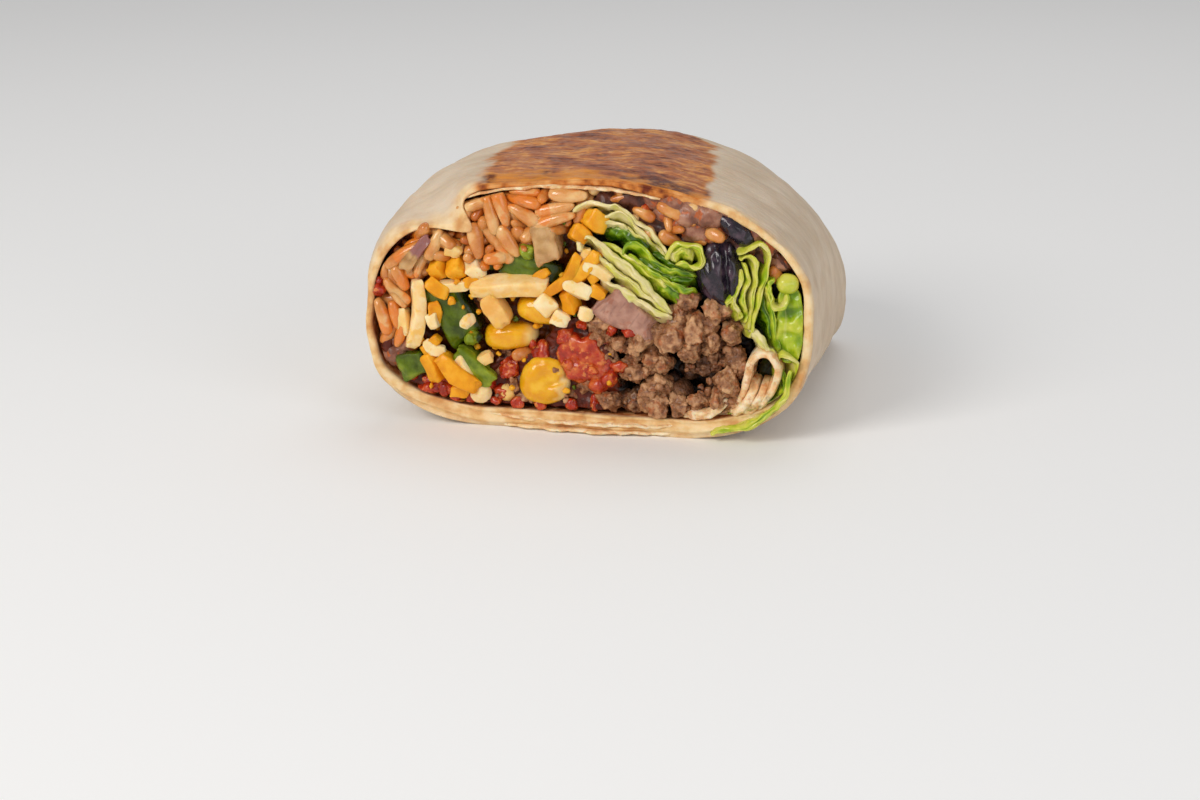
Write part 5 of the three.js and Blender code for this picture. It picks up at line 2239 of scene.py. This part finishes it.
@dataclass
class Crumbs(Layer):
    """Small bits: tomato pulp, crumbs of beef and cheese, herbs, and a white seed.

    Each has its x and z, how far behind the cut it starts, its radius, and where given its tone.
    """

    noise: Noise = noise_of(71)
    rng: np.random.Generator = draws_of(71)
    pulp: Rows = (
        (-39.2, 25.2, 0.7, 1.5), (-38.8, 26.8, 0.9, 1.1), (5, 19.6, 0.7, 1.5), (8.4, 19.8, -0.2, 1.3),
        (6.4, 12.6, 0.8, 1.5), (4.6, 10.4, 0.7, 1.8), (2.4, 8.6, 0.9, 1.8), (-3.8, 17.8, 1.2, 1.7),
        (-8.4, 14.4, 1.6, 1.8), (-12.6, 13.2, 1.8, 1.5), (-24.6, 4.9, 0.9, 1.7), (-30.4, 6.2, 1, 1.8),
        (-21.4, 5.6, 1.2, 1.4), (-3.4, 12.4, 1.2, 1.6), (-15.8, 6.6, 1.2, 1.5), (-10.2, 16, 2, 1.6),
        (1.6, 11.8, 0.8, 1.7), (-0.6, 20.2, 1, 1.2), (16.8, 44.6, 1.4, 0.9), (11, 42, 1.4, 1.2),
        (-27.2, 7, 1, 1.5), (-18.4, 8.6, 1, 1.3), (-16.9, 4.9, 0.8, 1.2), (-12.8, 4.7, 0.9, 1.1),
        (-8.6, 4.6, 1, 1.3), (-2.6, 4.8, 1.2, 1.2), (1.8, 5.4, 1.2, 1.3), (-33.4, 9, 1.2, 1.5),
    )
    bits: Rows = (
        (-10.6, 33.4, 0.6, 1.5, 0.95), (-17.4, 31.4, 1.6, 1.8, 0), (-15.2, 31, 1.8, 1.5, 0.05),
        (-21.4, 16.8, 0.8, 1.4, 0.9),
    )
    seeds: Rows = (
        (-19.7, 6.5, -0.3, 2.05, 0.9), (-14.9, 6.4, 1.4, 1.7, 0.1),
    )

    def build(self) -> None:
        """Makes the small bits, one piece for each kind."""
        pulp = Batch("tomato_pulp")
        fine, finer = even_ball(3), even_ball(4)
        for x, z, deep, radius in self.pulp:
            tone = self.rng.uniform(0.2, 0.9)
            self._bit(pulp, fine, self.section.spot(x, z, deep + radius * 0.8), radius, tone, 0.35)
        pulp.piece(self.finishes["tomato"], "tomato", within=self.section)
        self._scattered("beef_crumbs", self.finishes["beef"], "beef", 60, (-30, 30, 4, 14), (0.35, 0.8))
        self._scattered("cheese_crumbs", self.finishes["cheddar"], "cheese", 46, (-32, 6, 6, 34), (0.35, 0.75))
        self._scattered("herb_flecks", self.finishes["green_chile"], "pepper", 18, (-36, 6, 4, 42), (0.3, 0.6))
        bits = Batch("pepper_bits")
        for x, z, deep, radius, tone in self.bits:
            self._bit(bits, finer, self.section.spot(x, z, deep + radius * 0.8), radius, tone, 0.45)
        bits.piece(self.finishes["green_chile"], "pepper", within=self.section)
        seed = Batch("onion_seed")
        bulge = (1 + 0.06 * self.noise.smooth(finer.unit * 3, 1.0))[:, None]
        for x, z, deep, radius, tone in self.seeds:
            place = self.section.spot(x, z, deep + radius * 0.8)
            seed.add(finer, finer.unit * radius * bulge + place, tone)
        seed.piece(self.finishes["white_cheese"], "onion")

    def _bit(
        self, batch: Batch, lump: Template, middle: Array, radius: float, tone: float, rough: float
    ) -> None:
        """Adds one uneven bit.

        Args:
            batch: The piece that it joins.
            lump: The starting shape.
            middle: Its place.
            radius: Its size.
            tone: Its tone.
            rough: How uneven it is, as a share of its size.
        """
        points = lump.unit * self.rng.uniform(0.7, 1.25, size=3) * radius + middle
        rise = rough * radius * self.noise.layered(points, radius * 1.1, 2)
        batch.add(lump, points + lump.unit * rise[:, None], tone)

    def _scattered(
        self, name: str, material: Material, slot: str, count: int,
        area: tuple[float, float, float, float], sizes: Spot,
    ) -> None:
        """Makes a piece of many small bits of one kind, thrown over an area of the cut.

        Args:
            name: The name of the piece.
            material: The finish.
            slot: The record's material slot.
            count: How many are thrown.
            area: From and to which x, and from and to which z.
            sizes: The smallest and the largest size.
        """
        batch = Batch(name)
        lump = even_ball(2)
        for _ in range(count):
            x, z = self.rng.uniform(*area[:2]), self.rng.uniform(*area[2:])
            deep, size = self.rng.uniform(0.4, 3.5), self.rng.uniform(*sizes)
            if self.section.clear(x, z, 1.5):
                self._bit(batch, lump, self.section.spot(x, z, deep), size, self.rng.uniform(0.2, 0.9), 0.5)
        batch.piece(material, slot, within=self.section)


# ---- The studio ------------------------------------------------------------------------------


@dataclass
class Studio:
    """A plain pale floor, soft lights, and the camera in front of the cut."""

    azimuth: float = 12.0
    elevation: float = 16.0
    distance: float = 450.0
    lens: float = 74.25
    sensor: float = 36.0
    aside: float = -0.0142
    above: float = 0.075
    aim_height: float = 23.5
    surround: float = 0.42
    lights: tuple[tuple[str, tuple[float, ...], float, float, tuple[float, ...]], ...] = (
        ("key", (-0.42, -0.7, 0.52), 4.4, 0.42, (1.0, 0.97, 0.93)),
        ("fill", (0.62, -0.5, 0.32), 1.1, 0.5, (0.95, 0.97, 1.0)),
        ("top", (0.05, 0.35, 0.75), 0.9, 0.5, (1.0, 0.98, 0.96)),
    )

    def build(self, section: Section) -> None:
        """Sets the floor, the lights, the surroundings and the camera.

        Args:
            section: The body that the camera looks at.
        """
        self._floor()
        for name, place, power, size, colour in self.lights:
            lamp = bpy.data.lights.new(name, "AREA")
            lamp.energy = power
            lamp.size = size
            lamp.color = colour
            self._hang(name, lamp, Vector(place), Vector((0.0, 0.0, 0.02)) - Vector(place))
        self._surroundings()
        self._camera(section)

    @staticmethod
    def _hang(name: str, data: bpy.types.ID, place: Vector, aim: Vector) -> bpy.types.Object:
        """Puts a light or a camera in the scene.

        Args:
            name: Its name.
            data: The light or the camera.
            place: Where it hangs, in metres.
            aim: The direction in which it looks.

        Returns:
            The object.
        """
        holder = bpy.data.objects.new(name, data)
        holder.location = place
        holder.rotation_mode = "QUATERNION"
        holder.rotation_quaternion = aim.to_track_quat("-Z", "Y")
        bpy.context.scene.collection.objects.link(holder)
        return holder

    @staticmethod
    def _floor() -> None:
        """Makes a wide pale floor."""
        bm = bmesh.new()
        bmesh.ops.create_grid(bm, x_segments=8, y_segments=8, size=3.0)
        mesh = bpy.data.meshes.new("floor")
        bm.to_mesh(mesh)
        bm.free()
        material = bpy.data.materials.new("pale_floor")
        material.use_nodes = True
        sheet = Sheet(material.node_tree)
        shader = material.node_tree.nodes["Principled BSDF"]
        shader.inputs["Roughness"].default_value = 0.7
        cloud = sheet.node("TexNoise", Vector=sheet.place, Scale=3.0)
        pale = sheet.ramp(cloud.outputs[0], (0.0, (250, 250, 250)), (1.0, (253, 253, 253)))
        sheet.feed(shader.inputs["Base Color"], pale)
        mesh.materials.append(material)
        floor = bpy.data.objects.new("floor", mesh)
        bpy.context.scene.collection.objects.link(floor)

    def _surroundings(self) -> None:
        """Sets an even white surround, and plain colours."""
        world = bpy.data.worlds.new("surround")
        world.use_nodes = True
        background = world.node_tree.nodes["Background"]
        background.inputs["Color"].default_value = (1.0, 1.0, 1.0, 1.0)
        background.inputs["Strength"].default_value = self.surround
        scene = bpy.context.scene
        scene.world = world
        scene.view_settings.view_transform = "Standard"
        scene.view_settings.look = "None"
        scene.view_settings.exposure = 0.0

    def _camera(self, section: Section) -> None:
        """Places the camera so that the middle of the cut lands above the middle of the frame.

        Args:
            section: The body that it looks at.
        """
        a, e = math.radians(self.azimuth), math.radians(self.elevation)
        back = Vector((math.sin(a) * math.cos(e), -math.cos(a) * math.cos(e), math.sin(e)))
        right = Vector((math.cos(a), math.sin(a), 0.0))
        spread = self.sensor / self.lens
        ray = -back + right * self.aside * spread + back.cross(right) * self.above * spread
        camera = bpy.data.cameras.new("camera")
        camera.lens = self.lens
        camera.sensor_width = self.sensor
        camera.clip_start = 0.01
        camera.clip_end = 20.0
        anchor = Vector((0.0, section.cut_y, self.aim_height))
        bpy.context.scene.camera = self._hang("camera", camera, (anchor - ray * self.distance) * MM, -back)


# ---- Putting it together ---------------------------------------------------------------------


def main() -> None:
    """Builds the studio, the wrap and the filling."""
    logging.basicConfig(level=logging.INFO, format="%(message)s")
    section = Section.of_frame()
    Studio().build(section)
    effects = Effects()
    finishes = {finish.name: finish.make(effects) for finish in FINISHES}
    core = Core(section, finishes)
    for piece in (Tortilla(section, finishes), Strips(section, finishes), core):
        piece.build()
    rods = Rods(section, core)
    rice = Rice(section, finishes, rods)
    still = [kind(section, finishes) for kind in (Cheese, Leaves, Chunks, Beef)]
    for filling in (*still, rice):
        filling.block(rods)
    for filling in (rice, *still, Mash(section, finishes), Crumbs(section, finishes)):
        filling.build()


if __name__ == "__main__":
    main()
